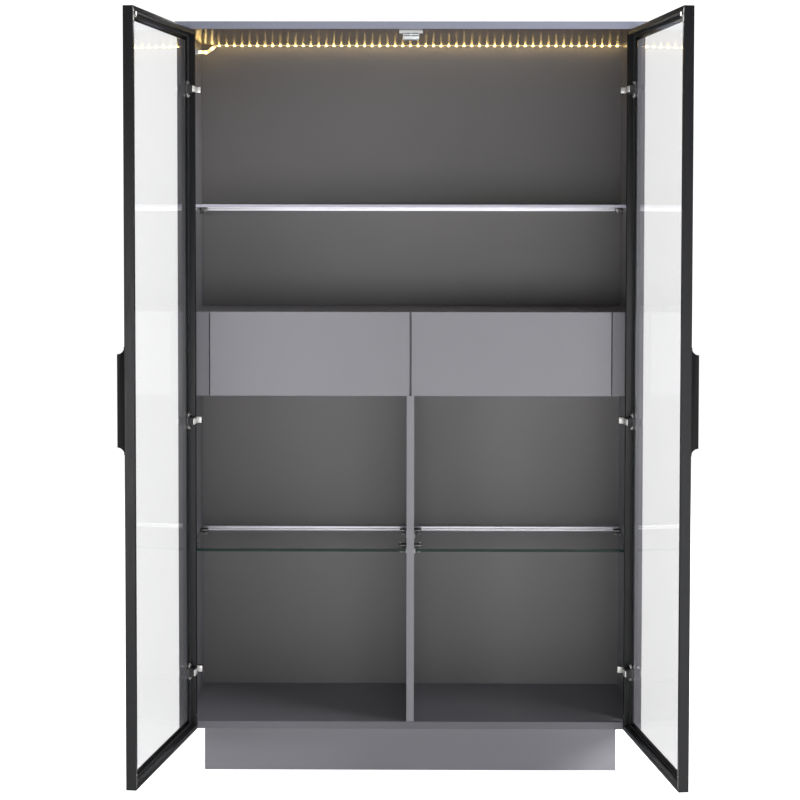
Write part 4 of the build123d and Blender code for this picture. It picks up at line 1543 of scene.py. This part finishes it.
# --------------------------------------------------------------------------------------
# studio
# --------------------------------------------------------------------------------------
@dataclass
class Studio:
    """Camera, pale floor and soft lights."""

    place: tuple = (0.010577, -4.563364, 1.176241)
    pitch: float = 2.498
    yaw: float = 0.436
    roll: float = 0.072
    lens: float = 92.08422
    sensor: float = 36.0
    shift: float = -0.10
    sky_seen: float = 1.15
    sky_light: float = 0.05
    floor_glow: float = 1.0
    floor_light: float = 0.24
    floor_reach: float = 16.0

    def set_camera(self) -> None:
        """Make the camera and hand it to the scene."""
        data = bpy.data.cameras.new("camera")
        data.sensor_fit = "HORIZONTAL"
        data.sensor_width = self.sensor
        data.lens = self.lens
        data.shift_y = self.shift
        data.clip_end = 60.0
        camera = bpy.data.objects.new("camera", data)
        bpy.context.scene.collection.objects.link(camera)
        aim = (
            Matrix.Rotation(math.radians(self.yaw), 4, "Z")
            @ Matrix.Rotation(math.radians(90 - self.pitch), 4, "X")
            @ Matrix.Rotation(math.radians(self.roll), 4, "Z")
        )
        camera.matrix_world = Matrix.Translation(self.place) @ aim
        bpy.context.scene.camera = camera

    def build(self) -> None:
        """Floor, sky and lights."""
        scene = bpy.context.scene
        scene.view_settings.view_transform = "Standard"
        self._sky()
        self._floor()
        key = self._light("key", (3.1, -2.0, 2.2), (0.0, -0.1, 0.9), 1.7, 172.0)
        key.visible_glossy = False
        self._light("overhead", (0.0, 0.9, 3.5), (0.0, 0.2, 1.6), 1.8, 55.0)
        self._light("rear", (0.0, 4.2, 1.9), (0.0, 0.2, 0.9), 2.0, 70.0)
        self._light("fill_left", (-1.9, -4.6, 0.5), (0.0, 0.0, 0.5), 1.2, 27.0)
        self._light("fill_right", (1.3, -4.7, 0.5), (0.0, 0.0, 0.5), 1.0, 20.0)
        self._light("front", (0.0, -5.0, 0.5), (0.0, 0.0, 0.4), 1.3, 22.0)

    def _sky(self) -> None:
        """A white surround that lights the cabinet less than it shows."""
        world = bpy.data.worlds.new("studio")
        world.use_nodes = True
        bench = NodeBench(world.node_tree)
        back = world.node_tree.nodes["Background"]
        back.inputs["Color"].default_value = WHITE
        path = bench.node("ShaderNodeLightPath")
        seen = bench.sums("MAXIMUM", path.outputs["Is Camera Ray"], bench.seen_through(path))
        bench.link(bench.span(seen, 0.0, 1.0, self.sky_light, self.sky_seen), back.inputs["Strength"])
        bpy.context.scene.world = world

    def _floor(self) -> None:
        """A broad pale floor, bright enough to meet the surround without a line."""
        shader = Shader("floor_pale")
        clouds = shader.span(shader.noise(shader.place(), 1.5, 2.0), 0.3, 0.7, 0.0, 1.0)
        tone = shader.blend(clouds, (0.88, 0.88, 0.88), (0.92, 0.92, 0.92))
        shader.body.inputs["Roughness"].default_value = 0.9
        shader.body.inputs["Specular IOR Level"].default_value = 0.0
        path = shader.node("ShaderNodeLightPath")
        through = shader.seen_through(path)
        faded = shader.node("ShaderNodeVectorMath", operation="SCALE")
        shader.link(tone, faded.inputs[0])
        shader.link(shader.sums("SUBTRACT", 1.0, through), faded.inputs["Scale"])
        shader.link(faded.outputs["Vector"], shader.body.inputs["Base Color"])
        shader.body.inputs["Emission Color"].default_value = WHITE
        plain = shader.span(path.outputs["Is Camera Ray"], 0.0, 1.0, self.floor_light, self.floor_glow)
        glow = shader.sums("ADD", plain, shader.sums("MULTIPLY", through, self.sky_seen - self.floor_light))
        shader.link(glow, shader.body.inputs["Emission Strength"])
        mesh = bpy.data.meshes.new("floor")
        reach = self.floor_reach
        corners = [(-reach, -reach, 0), (reach, -reach, 0), (reach, reach, 0), (-reach, reach, 0)]
        mesh.from_pydata(corners, [], [(0, 1, 2, 3)])
        mesh.materials.append(shader.material)
        floor = bpy.data.objects.new("floor", mesh)
        bpy.context.scene.collection.objects.link(floor)

    def _light(self, name: str, place: Point, target: Point, size: float, power: float) -> bpy.types.Object:
        """One soft square light.

        Args:
            name: its name.
            place: where it hangs.
            target: where it points.
            size: its side.
            power: its strength in watts.

        Returns:
            The lamp.
        """
        data = bpy.data.lights.new(name, "AREA")
        data.shape = "SQUARE"
        data.size = size
        data.energy = power
        lamp = bpy.data.objects.new(name, data)
        bpy.context.scene.collection.objects.link(lamp)
        aim = (Vector(target) - Vector(place)).to_track_quat("-Z", "Y").to_matrix().to_4x4()
        lamp.matrix_world = Matrix.Translation(place) @ aim
        lamp.visible_transmission = False
        return lamp


def main() -> None:
    """Build the studio and the cabinet."""
    logging.basicConfig(level=logging.INFO, format="%(message)s")
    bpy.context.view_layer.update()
    studio = Studio()
    studio.set_camera()
    studio.build()
    shop = Workshop(Palette())
    for assembly in (
        Carcass(shop),
        Shelves(shop),
        StripLight(shop),
        Catch(shop),
        CarcassHinges(shop, Side.LEFT),
        CarcassHinges(shop, Side.RIGHT),
        Door(shop, Side.LEFT, 97.5),
        Door(shop, Side.RIGHT, 96.5),
        Drawer(shop, Side.LEFT),
        Drawer(shop, Side.RIGHT),
        RunnerOuters(shop),
    ):
        assembly.build()
        LOG.info("%s done", type(assembly).__name__)
    bpy.context.view_layer.update()


if __name__ == "__main__":
    main()
